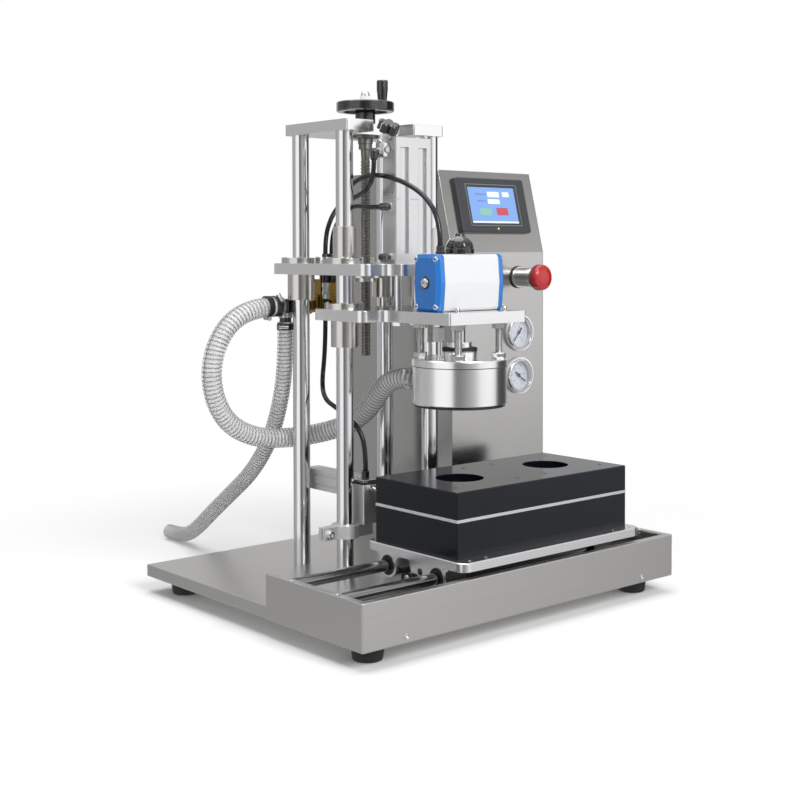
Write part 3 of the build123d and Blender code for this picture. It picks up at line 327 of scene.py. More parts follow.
blasted_silver = metal("bead blasted aluminium", (0.74, 0.74, 0.75), 0.55, (500, 500, 500), 0.1, 0.1,
                       0.00001, 0.7, (0.9, 0.9, 0.91))
spun_silver = metal("spun aluminium", (0.92, 0.92, 0.93), 0.22, (30, 30, 1900), 0.08, 0.1, 0.000005)
extruded_silver = metal("extruded aluminium", (0.76, 0.76, 0.77), 0.33, (1400, 1400, 5), 0.1, 0.1,
                        0.000006, 0.7, (0.9, 0.9, 0.91))
zinc = metal("zinc plated screws", (0.62, 0.62, 0.61), 0.24, (300, 300, 300), 0.2)
nickel = metal("nickel plated fittings", (0.74, 0.74, 0.735), 0.16, (200, 200, 900), 0.12, 0.1, 0.000004)
brass = metal("dull brass", (0.42, 0.27, 0.07), 0.28, (160, 160, 160), 0.55, 0.25, 0.00003)
hose_wire = metal("hose wire", (0.28, 0.28, 0.285), 0.34, (90, 90, 90), 0.2, 0.1, 0.00001, 0)
body_silver = moulded("silver actuator paint", (0.70, 0.705, 0.715), 0.34, 1400, 0.06, 0.1, 0.00001, 1.5,
                      (0.80, 0.80, 0.81), coat=0.3)
cap_blue = moulded("blue cap paint", (0.008, 0.165, 0.56), 0.26, 1200, 0.2, 0.15, 0.00003, 1.2,
                   (0.05, 0.32, 0.74), coat=0.6)
acetal = moulded("black acetal", (0.006, 0.008, 0.013), 0.16, 700, 0.4, 0.1, 0.000006, 0.8,
                 (0.03, 0.035, 0.045), specular=0.3)
black_plastic = moulded("black moulded plastic", (0.009, 0.009, 0.010), 0.22, 1000, 0.3, 0.14, 0.000008,
                        0.8, (0.04, 0.04, 0.042), coat=0.8)
panel_grey = moulded("dark grey panel plastic", (0.040, 0.043, 0.050), 0.36, 1600, 0.12, 0.1, 0.00002, 0.8,
                     (0.09, 0.095, 0.105))
bezel_line = moulded("bezel line", (0.20, 0.22, 0.20), 0.3, 1600, 0.1, 0.1, 0.00001, 0)
rubber = moulded("black rubber", (0.010, 0.010, 0.010), 0.6, 500, 0.3, 0.2, 0.0001, 1.0, (0.03, 0.03, 0.03))
tube_black = moulded("black air tube", (0.010, 0.012, 0.016), 0.2, 600, 0.2, 0.1, 0.00001, 0)
stop_red = moulded("stop button red", (0.44, 0.012, 0.016), 0.25, 700, 0.12, 0.1, 0.00001, 0.8,
                   (0.72, 0.05, 0.05), coat=0.4)
gauge_white = moulded("gauge case paint", (0.72, 0.73, 0.75), 0.3, 900, 0.08, 0.1, 0.00001, 0.6, coat=0.3)
dial_face = moulded("dial face", (0.60, 0.63, 0.70), 0.5, 600, 0.06, 0.1, 0.00001, 0)
ink = moulded("dial ink", (0.02, 0.02, 0.025), 0.5, 600, 0.1, 0.1, 0.00001, 0)
hose_wall = clear("clear hose wall", (0.90, 0.90, 0.895), 0.22, 0.16, 0.9)
hose_lining = clear("cloudy hose lining", (0.93, 0.93, 0.925), 0.4, 0.62, 0.95)
gauge_glass = clear("gauge glass", (0.9, 0.92, 0.95), 0.05, 0.06, 0.4)
screen_blue = glowing("screen field", (0.15, 0.26, 0.52), 0.6)
screen_pale = glowing("screen boxes", (0.55, 0.60, 0.64), 0.55)
screen_dim = glowing("screen lines", (0.08, 0.13, 0.30), 0.6)
screen_green = glowing("screen green", (0.17, 0.36, 0.31), 0.6)
screen_red = glowing("screen red", (0.36, 0.06, 0.075), 0.6)
lamp_green = glowing("panel lamp", (0.35, 0.85, 0.1), 1.0)

finishes = {
    steel_long: ["base_plate", "tray_skirt"],
    steel_upright: ["cabinet_shell", "cabinet_back"],
    chrome: ["columns", "piston_rods", "handwheel_nut"],
    rail_steel: ["rails"],
    turned_steel: ["linear_bearings", "lift_bushes", "head_bushes", "spindle_shaft", "capping_chuck",
                   "lock_pin", "estop_collar", "lift_nut"],
    screw_steel: ["screw_bearing"],
    plate_silver: ["top_plate", "rail_end_blocks", "slide_table", "bearing_housings", "lift_plate",
                   "head_plate"],
    blasted_silver: ["column_clamp", "lock_bracket", "lock_cylinder", "fixture_divider"],
    spun_silver: ["chamber_lid", "chamber_bell", "shaft_gland"],
    extruded_silver: ["press_cylinder"],
    gauge_white: ["gauge_cases"],
    acetal: ["fixture_lower", "fixture_upper"],
    black_plastic: ["handwheel", "handle_grip", "star_knob", "lock_fitting", "hose_tee", "needle_upper",
                    "needle_lower"],
    panel_grey: ["hmi_housing"],
    rubber: ["feet", "chamber_seal"],
    stop_red: ["estop_head"],
}
for finish, names in finishes.items():
    for name in names:
        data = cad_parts[name].data
        data.materials.clear()
        data.materials.append(finish)

# Mesh builders


def place_along(at, axis):
    """Matrix that puts local +Z along an axis at a point given in millimetres."""
    turn = Vector(axis).to_track_quat("Z", "Y").to_matrix().to_4x4()
    return Matrix.Translation(mm(*at)) @ turn


def crease(piece, angle=35):
    """Keep edges crisp where faces meet at more than an angle."""
    piece.data.set_sharp_from_angle(angle=radians(angle))
    return piece


def solid(name, body, verts, faces, materials, face_slots=None, smooth=True):
    """A mesh piece that rides on a body, or on none where a blend or the stage follows."""
    data = bpy.data.meshes.new(name)
    data.from_pydata([tuple(v) for v in verts], [], faces)
    for material in materials:
        data.materials.append(material)
    for index, polygon in enumerate(data.polygons):
        polygon.use_smooth = smooth
        if face_slots:
            polygon.material_index = face_slots[index]
    data.validate()
    piece = bpy.data.objects.new(name, data)
    bpy.context.scene.collection.objects.link(piece)
    if body:
        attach(piece, body)
    return piece


def add_shell(shell, verts, faces, slot=0):
    """Add the faces of one closed form to a list of verts, faces and material slots."""
    start = len(shell[0])
    shell[0].extend(verts)
    shell[1].extend(tuple(start + index for index in face) for face in faces)
    shell[2].extend([slot] * len(faces))


def ring_faces(rings, size):
    """Faces between neighbouring rings of a size, in order."""
    faces = []
    for ring in range(rings - 1):
        for step in range(size):
            here = ring * size + step
            beside = ring * size + (step + 1) % size
            faces.append((here, beside, beside + size, here + size))
    return faces


def turned(profile, segments=32, hexagon=()):
    """Rings of a lathe profile of (radius, height) pairs in millimetres about local Z.
    Rings listed in hexagon are drawn as a hexagon of that across-flats half width."""
    verts = []
    for index, (radius, height) in enumerate(profile):
        for step in range(segments):
            angle = 2 * pi * step / segments
            reach = radius
            if index in hexagon:
                reach = radius / cos((angle + pi / 6) % (pi / 3) - pi / 6)
            verts.append(mm(reach * cos(angle), reach * sin(angle), height))
    return verts, ring_faces(len(profile), segments)


def assembly(name, body, pieces, segments=24):
    """One object of turned pieces, each a point, an axis, a profile, a material and its hexagon rings."""
    shell = ([], [], [])
    materials = []
    for at, axis, profile, material, hexagon in pieces:
        if material not in materials:
            materials.append(material)
        verts, faces = turned(profile, segments, hexagon)
        where = place_along(at, axis)
        add_shell(shell, [where @ v for v in verts], faces, materials.index(material))
    return crease(solid(name, body, shell[0], shell[1], materials, shell[2]))


def lathe(name, body, at, axis, profile, material, segments=32, hexagon=()):
    """One turned piece of one material."""
    return assembly(name, body, [(at, axis, profile, material, hexagon)], segments)


def many(name, body, places, profile, material, segments=24, hexagon=()):
    """One object with the same turned piece at each (point, axis)."""
    return assembly(name, body, [(at, axis, profile, material, hexagon) for at, axis in places], segments)


def socket_screw(radius, height, key):
    """Profile of a cap screw head with a hexagon socket, from its seat upwards."""
    return [(radius, 0), (radius, height - 0.6), (radius - 0.6, height), (key + 0.5, height),
            (key, height - 0.4), (key, height * 0.4), (0.05, height * 0.4)], (4, 5)


def rounded_box(name, body, low, high, edge, material, turn=None):
    """A box between two corners in millimetres with bevelled edges, turned about its middle if asked."""
    centre = (Vector(low) + Vector(high)) / 2
    half = (Vector(high) - Vector(low)) / 2
    signs = [(x, y, z) for z in (-1, 1) for y in (-1, 1) for x in (-1, 1)]
    verts = [mm(sx * half.x, sy * half.y, sz * half.z) for sx, sy, sz in signs]
    faces = [(0, 2, 3, 1), (4, 5, 7, 6), (0, 1, 5, 4), (2, 6, 7, 3), (0, 4, 6, 2), (1, 3, 7, 5)]
    where = Matrix.Translation(mm(*centre)) @ (turn or Matrix.Identity(4))
    piece = solid(name, body, [where @ v for v in verts], faces, [material])
    bevel = piece.modifiers.new("rounded edges", "BEVEL")
    bevel.width = edge / 1000
    bevel.segments = 3
    piece.modifiers.new("flat faces", "WEIGHTED_NORMAL")
    return piece


def route_points(name, points):
    """Points along the smooth line of a hose or tube, whose control points are given in metres."""
    curve = bpy.data.curves.new(name, "CURVE")
    curve.dimensions = "3D"
    curve.resolution_u = 16
    spline = curve.splines.new("NURBS")
    spline.points.add(len(points) - 1)
    for point, place in zip(spline.points, points):
        point.co = (*place, 1)
    spline.order_u = 3
    spline.use_endpoint_u = True
    holder = bpy.data.objects.new(name, curve)
    line = bpy.data.meshes.new_from_object(holder)
    path = [v.co.copy() for v in line.vertices]
    bpy.data.objects.remove(holder)
    bpy.data.meshes.remove(line)
    bpy.data.curves.remove(curve)
    return path


def even_steps(path, spacing):
    """Points on a line of points at an even spacing in metres, and their distances from the start."""
    points, distances, walked, due = [], [], 0.0, 0.0
    for start, end in zip(path, path[1:]):
        length = (end - start).length
        while due <= walked + length:
            points.append(start.lerp(end, (due - walked) / length))
            distances.append(due)
            due += spacing
        walked += length
    if (points[-1] - path[-1]).length > 1e-6:
        points.append(path[-1])
        distances.append(walked)
    return points, distances


def cross_frames(points):
    """Two directions across the line at each point, carried along it without twist."""
    frames = []
    across = None
    for index in range(len(points)):
        before = points[max(index - 1, 0)]
        after = points[min(index + 1, len(points) - 1)]
        along = (after - before).normalized()
        if across is None:
            across = along.orthogonal().normalized()
        across = (across - along * across.dot(along)).normalized()
        frames.append((across.copy(), along.cross(across)))
    return frames


def skin_rings(rings, endless=False):
    """Verts and faces of a tube through rings of equal size, closed at both ends or endless."""
    size = len(rings[0])
    verts = [v for ring in rings for v in ring]
    if endless:
        faces = ring_faces(len(rings) + 1, size)
        return verts, [tuple(index % len(verts) for index in face) for face in faces]
    faces = ring_faces(len(rings), size)
    faces.append(tuple(reversed(range(size))))
    faces.append(tuple(range(len(verts) - size, len(verts))))
    return verts, faces


def tube_rings(points, radius, sides, ripple=0.0, pitch=1.0, distances=None):
    """Rings of a radius round points, drawn in by a ripple between the turns of a pitch."""
    rings = []
    for index, (point, (u, v)) in enumerate(zip(points, cross_frames(points))):
        reach = radius
        if ripple:
            reach = radius - ripple * (1 - cos(2 * pi * distances[index] / pitch)) / 2
        rings.append([point + (u * cos(2 * pi * s / sides) + v * sin(2 * pi * s / sides)) * reach
                      for s in range(sides)])
    return rings


def round_tube(points, radius, sides):
    """Verts and faces of a plain tube with closed ends."""
    return skin_rings(tube_rings(points, radius, sides))


def wire_coil(points, distances, radius, wire, pitch, sides=5, steps_a_turn=14):
    """A wire wound round a line at a pitch, in metres."""
    frames = cross_frames(points)
    coil = []
    total = distances[-1]
    count = int(total / pitch * steps_a_turn)
    index = 0
    for step in range(count + 1):
        distance = total * step / count
        while index < len(distances) - 2 and distances[index + 1] < distance:
            index += 1
        share = (distance - distances[index]) / (distances[index + 1] - distances[index])
        centre = points[index].lerp(points[index + 1], min(share, 1))
        u, v = frames[index]
        angle = 2 * pi * distance / pitch
        coil.append(centre + (u * cos(angle) + v * sin(angle)) * radius)
    return round_tube(coil, wire, sides)


def reinforced_hose(name, route, radius, pitch):
    """Clear hose with a wire wound inside its wall, and a dark line printed along it."""
    skin, spring, print_line, lining = range(4)
    wall = 0.0028
    sides = 26
    ripple = 0.0007
    wire = 0.0007
    wire_depth = 0.0011
    stripe_angle = 2.2
    stripe_radius = 0.0005
    path = route_points(name, route)
    points, distances = even_steps(path, pitch / 4)
    shell = ([], [], [])
    outer = tube_rings(points, radius, sides, ripple, pitch, distances)
    inner = tube_rings(points, radius - wall, sides)
    add_shell(shell, *skin_rings(outer + inner[::-1], endless=True), skin)
    shell[2][len(outer) * sides:] = [lining] * (len(inner) * sides)
    add_shell(shell, *wire_coil(points, distances, radius - wire_depth, wire, pitch), spring)
    stripe = [p + (u * cos(stripe_angle) + v * sin(stripe_angle)) * (radius - wire_depth)
              for p, (u, v) in zip(points, cross_frames(points))]
    add_shell(shell, *round_tube(stripe, stripe_radius, 4), print_line)
    piece = solid(name, None, shell[0], shell[1], [hose_wall, hose_wire, ink, hose_lining],
                  shell[2])
    return piece, path


# Hoses and air tubes, on the same routes as in the solid model
loop_route = [
    (-0.128, 0.144, 0.422), (-0.172, 0.144, 0.422), (-0.219, 0.145, 0.402), (-0.246, 0.148, 0.356),
    (-0.245, 0.152, 0.302), (-0.217, 0.156, 0.253), (-0.166, 0.158, 0.227), (-0.110, 0.150, 0.222),
    (-0.070, 0.118, 0.230), (-0.050, 0.074, 0.246), (-0.047, 0.034, 0.272), (-0.050, 0.005, 0.302),
    (-0.0505, -0.016, 0.316), (-0.04838, -0.03815, 0.323), (-0.04376, -0.06576, 0.323)]
loop_hose, loop_path = reinforced_hose("loop_hose_clear", loop_route, LOOP_HOSE_R, LOOP_PITCH)
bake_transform(loop_hose)
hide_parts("loop_hose")

pump_route = [
    (-0.119, 0.144, 0.398), (-0.119, 0.144, 0.343), (-0.117, 0.160, 0.276), (-0.114, 0.194, 0.212),
    (-0.110, 0.248, 0.158), (-0.102, 0.318, 0.115), (-0.094, 0.390, 0.071), (-0.086, 0.450, 0.033),
    (-0.080, 0.500, 0.0125), (-0.078, 0.552, 0.0125)]
pump_hose, pump_path = reinforced_hose("pump_hose_clear", pump_route, PUMP_HOSE_R, PUMP_PITCH)
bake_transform(pump_hose)
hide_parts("pump_hose")

air_tubes = [
    ("tube_top", "lift", None, None, None, [
        (-0.089, -0.028, 0.632), (-0.089, -0.028, 0.610), (-0.086, -0.008, 0.590),
        (-0.082, 0.028, 0.580), (-0.076, 0.066, 0.573), (-0.068, 0.098, 0.554),
        (-0.062, 0.120, 0.526), (-0.062, 0.120, 0.500)]),
    ("tube_port", "lift", None, None, None, [
        (-0.075, -0.025, 0.5665), (-0.075, 0.002, 0.5665), (-0.068, 0.034, 0.570),
        (-0.061, 0.066, 0.567), (-0.053, 0.098, 0.552), (-0.050, 0.120, 0.526),
        (-0.050, 0.120, 0.500)]),
    ("tube_actuator", "head", "lift", (-0.067, -0.138, 0.508), (-0.067, 0.10, 0.508), [
        (-0.067, -0.142, 0.512), (-0.067, -0.142, 0.544), (-0.067, -0.114, 0.579),
        (-0.069, -0.067, 0.602), (-0.075, -0.016, 0.614), (-0.072, 0.034, 0.608),
        (-0.060, 0.078, 0.586), (-0.045, 0.110, 0.548), (-0.038, 0.120, 0.522),
        (-0.038, 0.120, 0.500)]),
    ("tube_supply", "lift", "frame", (-0.06, 0.12, 0.448), (-0.06, 0.12, 0.218), [
        (-0.062, 0.120, 0.456), (-0.062, 0.120, 0.403), (-0.063, 0.121, 0.348),
        (-0.072, 0.117, 0.303), (-0.088, 0.088, 0.284), (-0.092, 0.056, 0.275),
        (-0.090, 0.027, 0.263), (-0.086, 0.006, 0.244), (-0.084, -0.0015, 0.218),
        (-0.084, -0.0015, 0.189)]),
]
for node, body, other, start, end, route in air_tubes:
    path = route_points(node, route)
    tube = solid(node + "_black", None if other else body, *round_tube(path, TUBE_R, 16), [tube_black])
    if other:
        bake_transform(tube)
    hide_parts(node)

# Operator panel, on the sloping face of the cabinet
PANEL_MIDDLE = Vector((189, 20.27, 573.5))
PANEL_OUT = Vector((0, -127, 32)).normalized()
PANEL_UP = Vector((0, 32, 127)).normalized()
PANEL_T = 7.0
SCREEN_LEFT = -50.5
SCREEN_LOW = -29
SCREEN_W = 101
SCREEN_H = 58
STEP_HALF_W = 56
STEP_HALF_H = 33.7
STEP_LINE = 1.2
panel_turn = Matrix((Vector((1, 0, 0)), PANEL_UP, PANEL_OUT)).transposed().to_4x4()


def panel_plate(name, left, low, width, height, rise, depth, edge, material):
    """A plate on the sloping face, measured in millimetres from the panel's middle."""
    half = Vector((width / 2, height / 2, depth / 2))
    centre = (PANEL_MIDDLE + Vector((left + width / 2, 0, 0)) + PANEL_UP * (low + height / 2)
              + PANEL_OUT * (rise + depth / 2))
    return rounded_box(name, "frame", centre - half, centre + half, edge, material, panel_turn)


panel_plate("screen_field", SCREEN_LEFT, SCREEN_LOW, SCREEN_W, SCREEN_H, PANEL_T - 1.4, 0.5, 0.2,
            screen_blue)
screen_marks = [
    (-10, 13, 26, 9, screen_pale), (23, 14, 15, 8, screen_pale), (-11, 2, 26, 8, screen_pale),
    (-31, -17, 25, 12, screen_green), (5, -16, 25, 12, screen_red), (-36, 17, 22, 1.2, screen_dim),
    (-34, 6, 20, 1.2, screen_dim), (SCREEN_LEFT, SCREEN_LOW, SCREEN_W, 3, screen_pale)]
for index, (left, low, width, height, material) in enumerate(screen_marks):
    panel_plate(f"screen_mark_{index}", left, low, width, height, PANEL_T - 0.9, 0.25, 0.1, material)
for name, left, low, width, height in (
        ("top", -STEP_HALF_W, STEP_HALF_H - STEP_LINE, 2 * STEP_HALF_W, STEP_LINE),
        ("bottom", -STEP_HALF_W, -STEP_HALF_H, 2 * STEP_HALF_W, STEP_LINE),
        ("left", -STEP_HALF_W, -STEP_HALF_H, STEP_LINE, 2 * STEP_HALF_H),
        ("right", STEP_HALF_W - STEP_LINE, -STEP_HALF_H, STEP_LINE, 2 * STEP_HALF_H)):
    panel_plate("bezel_step_" + name, left, low, width, height, PANEL_T - 0.05, 0.5, 0.3, bezel_line)
panel_plate("panel_lamp", 0, -39.5, 2.6, 2.6, PANEL_T - 0.05, 0.5, 0.25, lamp_green)

# Gauges: a printed dial behind glass in a polished ring
DIAL_Y = 2.85
MARK_Y = 2.7
NUMBER_Y = 2.65
CASE_Y = -3.0
DIAL_R = 21.8
TICKS = 30
TICK_END = 18.6
NUMBER_R = 11.6
for node, height, start_angle, sweep in (("upper", 374, 230, -280), ("lower", 306, -50, 280)):
    lathe(f"dial_{node}", "frame", (GAUGE_X, DIAL_Y, height), (0, -1, 0),
          [(DIAL_R, 0), (DIAL_R, 0.1), (0.05, 0.1)], dial_face, 48)
    verts, faces = [], []
    for step in range(TICKS + 1):
        angle = radians(start_angle + sweep * step / TICKS)
        inner, wide = (14.8, 0.45) if step % 6 == 0 else (16.8, 0.22)
        out = Vector((cos(angle), 0, sin(angle)))
        side = Vector((-sin(angle), 0, cos(angle)))
        centre = Vector((GAUGE_X, MARK_Y, height))
        base = len(verts)
        for reach, offset in ((inner, -wide), (inner, wide), (TICK_END, wide), (TICK_END, -wide)):
            verts.append(mm(*(centre + out * reach + side * offset)))
        faces.append((base, base + 1, base + 2, base + 3))
    solid(f"dial_marks_{node}", "frame", verts, faces, [ink], smooth=False)
    for step in range(6):
        angle = radians(start_angle + sweep * step / 5)
        text = bpy.data.curves.new(f"dial_number_{node}_{step}", "FONT")
        text.body = str(2 * step)
        text.size = 0.0042
        text.align_x = "CENTER"
        text.align_y = "CENTER"
        text.materials.append(ink)
        number = bpy.data.objects.new(text.name, text)
        bpy.context.scene.collection.objects.link(number)
        place = mm(GAUGE_X + NUMBER_R * cos(angle), NUMBER_Y, height + NUMBER_R * sin(angle))
        number.matrix_world = Matrix.Translation(place) @ Matrix.Rotation(pi / 2, 4, "X")
        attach(number, "frame")
    lathe(f"gauge_rim_{node}", "frame", (GAUGE_X, CASE_Y, height), (0, -1, 0),
          [(26.5, 0), (26.5, 2.2), (25.6, 3.6), (24.2, 4.0), (22.9, 3.4), (22.3, 2.0), (22.2, 0)],
          chrome, 64)
    lathe(f"gauge_glass_{node}", "frame", (GAUGE_X, CASE_Y, height), (0, -1, 0),
          [(22.4, 0.8), (18, 1.9), (10, 2.6), (0.05, 2.9)], gauge_glass, 48)

# Stop button: a ring behind its collar, a black washer, and the crown of the head
STOP = middle("estop_head")
STOP_FACE_Y = corners("estop_head")[0].y
collar_front = corners("estop_collar")[0].y
lathe("stop_collar_ring", "frame", (STOP.x, collar_front + 8, STOP.z), (0, -1, 0),
      [(14.4, 0), (15.6, 0.6), (15.6, 5.4), (14.4, 6)], chrome, 48)
lathe("stop_washer", "frame", (STOP.x, corners("estop_collar")[1].y - 12, STOP.z), (0, -1, 0),
      [(17.5, -0.5), (17.5, 2.2), (16.4, 2.8), (14, 2.8)], rubber, 48)
lathe("stop_crown", "estop_head", (STOP.x, STOP_FACE_Y, STOP.z), (0, -1, 0),
      [(15.5, -0.2), (14.8, 0.4), (9, 1.0), (0.05, 1.3)], stop_red, 48)
lathe("stop_skirt", "estop_head", (STOP.x, STOP_FACE_Y + 13, STOP.z), (0, -1, 0),
      [(13, 0.1), (19.6, 0.1), (20.4, 0.7), (20.4, 2.4), (19.9, 2.9)], black_plastic, 48)

# Rotary actuator: a body whose sides bulge at mid height, and painted caps with the same outline
BODY_LOW, BODY_HIGH = corners("actuator_body")
ACTUATOR_HALF_D = (BODY_HIGH.y - BODY_LOW.y) / 2
ACTUATOR_HALF_H = (BODY_HIGH.z - BODY_LOW.z) / 2
ACTUATOR_END = 63.0
ACTUATOR_BULGE = 0.12
ACTUATOR_CORNER = 6.0
CORNER_STEPS = 12
cap_middle = (BODY_LOW + BODY_HIGH) / 2


def actuator_ring(x, inset):
    """Outline of the actuator at x in millimetres, drawn in by an inset."""
    half_d = ACTUATOR_HALF_D - inset
    half_h = ACTUATOR_HALF_H - inset
    corner = max(ACTUATOR_CORNER - inset / 2, 1)
    points = []
    for sy, sz, start in ((1, 1, 0), (-1, 1, 90), (-1, -1, 180), (1, -1, 270)):
        for step in range(CORNER_STEPS + 1):
            angle = radians(start + 90 * step / CORNER_STEPS)
            points.append((sy * (half_d - corner) + corner * cos(angle),
                           sz * (half_h - corner) + corner * sin(angle)))
        if sy * sz < 0:
            points.append((sy * half_d, 0))
    return [mm(x, HEAD_Y + y * (1 - ACTUATOR_BULGE * abs(z) / ACTUATOR_HALF_H), cap_middle.z + z)
            for y, z in points]


body_rings = [actuator_ring(x, 0.5) for x in (BODY_LOW.x, BODY_HIGH.x)]
actuator_block = crease(solid("actuator_block", "head", *skin_rings(body_rings), [body_silver]), 8)
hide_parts("actuator_body")
cap_shell = ([], [], [])
for side, inner in ((-1, BODY_LOW.x), (1, BODY_HIGH.x)):
    steps = ((0, 0), (6.4, 0), (7.2, 0.3), (11.0, 4.0), (11.8, 4.6), (12, 5.4))
    rings = [actuator_ring(inner + side * out, inset) for out, inset in steps]
    add_shell(cap_shell, *skin_rings(rings if side > 0 else rings[::-1]))
actuator_ends = crease(solid("actuator_end_caps", "head", cap_shell[0], cap_shell[1], [cap_blue]), 8)
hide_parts("actuator_caps")

# Threads of the studs and of the lead screw
lid_top = top("chamber_lid")
head_bottom = bottom("head_plate")
head_top = top("head_plate")
stud_places = [(HEAD_X + sx * STUD_REACH, HEAD_Y + sy * STUD_REACH) for sx in (-1, 1) for sy in (-1, 1)]
STUD_TURNS = 28
STUD_PITCH = 1.15
STUD_LEN = 41
stud_profile = [(STUD_R, 0), (STUD_R, STUD_NUT_H)]
for step in range(STUD_TURNS):
    rise = STUD_NUT_H + 0.5 + step * STUD_PITCH
    stud_profile += [(STUD_R, rise), (STUD_R - 0.6, rise + STUD_PITCH / 2)]
stud_profile += [(STUD_R, STUD_LEN)]
stud_nut = [(7.6, 0), (8.5, 0.8), (8.5, 7.2), (7.6, STUD_NUT_H), (STUD_R, STUD_NUT_H)]
studs = assembly("threaded_studs", "head",
                 [((x, y, lid_top), (0, 0, 1), stud_profile, zinc, ()) for x, y in stud_places]
                 + [((x, y, z), (0, 0, 1), stud_nut, nickel, (0, 1, 2, 3)) for x, y in stud_places
                    for z in (lid_top, head_bottom - STUD_NUT_H)])
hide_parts("chamber_studs")

COLLAR_TOP = 662.7
COLLAR_H = 8.0
SCREW_TURNS = 58
screw_low = bottom("lead_screw")
screw_profile = [(0.05, screw_low), (LEAD_SCREW_R - 1, screw_low)]
for step in range(SCREW_TURNS):
    rise = screw_low + 1 + step * LEAD_SCREW_PITCH
    screw_profile += [(LEAD_SCREW_R - 1, rise), (LEAD_SCREW_R, rise + 1), (LEAD_SCREW_R, rise + 3),
                      (LEAD_SCREW_R - 1, rise + 4)]
screw_profile += [(LEAD_SCREW_R, COLLAR_TOP - COLLAR_H - 2), (LEAD_SCREW_R, COLLAR_TOP - COLLAR_H),
                  (10, COLLAR_TOP - COLLAR_H), (10, COLLAR_TOP), (LEAD_SCREW_R, COLLAR_TOP),
                  (LEAD_SCREW_R, top("lead_screw")), (0.05, top("lead_screw"))]
lead_screw = lathe("threaded_lead_screw", "handwheel", (SCREW_X, SCREW_Y, 0), (0, 0, 1), screw_profile,
                   screw_steel, 28)
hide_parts("lead_screw")

# Screws
cap_head, cap_key = socket_screw(3.6, 3.4, 1.9)
many("cap_screws", "head",
     [((HEAD_X + side * (ACTUATOR_END - 2.6), HEAD_Y + dy, cap_middle.z + dz), (side, 0, 0))
      for side in (-1, 1) for dy in (-19, 19) for dz in (-32, 32)], [(3.6, -2)] + cap_head, nickel, 24,
     tuple(index + 1 for index in cap_key))
many("mounting_screws", "head",
     [((HEAD_X + x, HEAD_Y - ACTUATOR_HALF_D - 4, head_top), (0, 0, 1)) for x in (-33, 56)],
     [(3.2, 0), (3.2, 5), (2.8, 5.6), (1.7, 5.6), (1.6, 4), (0.05, 4)], zinc, 20, (3, 4))
left_boss = (HEAD_X - ACTUATOR_END, HEAD_Y, cap_middle.z)
right_boss = (HEAD_X + ACTUATOR_END, HEAD_Y, cap_middle.z)
assembly("cap_centre_bolts", "head", [
    (left_boss, (-1, 0, 0), [(8.8, -0.1), (8.8, 0.4), (6.4, 0.9), (6.4, 0)], black_plastic, ()),
    (left_boss, (-1, 0, 0), [(6.2, 0), (6.2, 2.4), (5.0, 3.6), (2.8, 3.8), (2.6, 1.6), (0.05, 1.6)],
     chrome, (4,)),
    (right_boss, (1, 0, 0), [(6.2, -0.1), (6.2, 3.4), (5.0, 4.8), (0.05, 5)], cap_blue, ())], 36)
table_head = [(4.6, -0.1), (4.4, 0.15), (2.6, 0.2), (2.4, -0.6), (0.05, -0.6)]
table_mid = (TABLE[0] + TABLE[1]) / 2
many("table_screws", "table",
     [((table_mid.x + x, table_mid.y + y, TABLE[1].z), (0, 0, 1)) for x in (-157, -127, 127, 157)
      for y in (-90, 90)], table_head, zinc, 24, (3,))
many("lid_screws", "head",
     [((HEAD_X + 57 * cos(a), HEAD_Y + 57 * sin(a), lid_top - 0.1), (0, 0, 1))
      for a in (0, pi / 2, pi, 3 * pi / 2)],
     [(3.4, 0), (3.2, 0.3), (1.8, 0.3), (1.7, -0.3), (0.05, -0.3)], zinc, 20, (3,))
bush_head, bush_key = socket_screw(2.6, 1.6, 1.4)
for body, rows in (("lift", [(y, top("lift_plate") + 8) for y in COLUMN_YS]),
                   ("head", [(COLUMN_YS[0], head_top + 8)])):
    many(f"bush_screws_{body}", body,
         [((x + BUSH_SCREW_CIRCLE * cos(a), y + BUSH_SCREW_CIRCLE * sin(a), z), (0, 0, 1))
          for x in COLUMN_XS for y, z in rows for a in (pi / 4, 3 * pi / 4, 5 * pi / 4, 7 * pi / 4)],
         bush_head, zinc, 20, bush_key)
top_head, top_key = socket_screw(6.5, 8, 3.2)
column_tops = many("column_screws", "frame",
                   [((x, y, top("top_plate") - 8), (0, 0, 1)) for x in COLUMN_XS for y in COLUMN_YS],
                   top_head, zinc, 30, top_key)
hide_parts("frame_screws")
SKIRT = corners("tray_skirt")
SKIRT_SCREW_X = 225
SKIRT_SCREW_Y = -62
SKIRT_SCREW_Z = 32.5
button_head = [(5.0, 0), (4.9, 0.6), (4.0, 1.5), (2.9, 1.9), (2.2, 1.9), (2.0, 0.8), (0.05, 0.8)]
many("skirt_screws", "frame",
     [((side * SKIRT_SCREW_X, SKIRT[0].y + 1.9, SKIRT_SCREW_Z), (0, -1, 0)) for side in (-1, 1)]
     + [((side * (SKIRT[1].x - 1.9), SKIRT_SCREW_Y, SKIRT_SCREW_Z), (side, 0, 0)) for side in (-1, 1)],
     button_head, chrome, 24, (5,))
many("rim_screws", "frame",
     [((side * (SKIRT[1].x - 6), y + dy, SKIRT[1].z), (0, 0, 1)) for side in (-1, 1)
      for y, dy in ((RAIL_YS[0], -14), (RAIL_YS[1], -20))],
     [(2.4, -0.1), (2.2, 0.2), (1.2, 0.3), (1.1, -0.2), (0.05, -0.2)], nickel, 20, (3,))
cylinder_head, cylinder_key = socket_screw(3.6, 3.2, 1.8)
cylinder_mid = (CYLINDER[0] + CYLINDER[1]) / 2
many("cylinder_screws", "lift",
     [((cylinder_mid.x + sx * 28, cylinder_mid.y + sy * 9, CYLINDER[1].z), (0, 0, 1))
      for sx in (-1, 1) for sy in (-1, 1)], cylinder_head, zinc, 24, cylinder_key)

# Hose clamps: a worm drive band with its screw housing


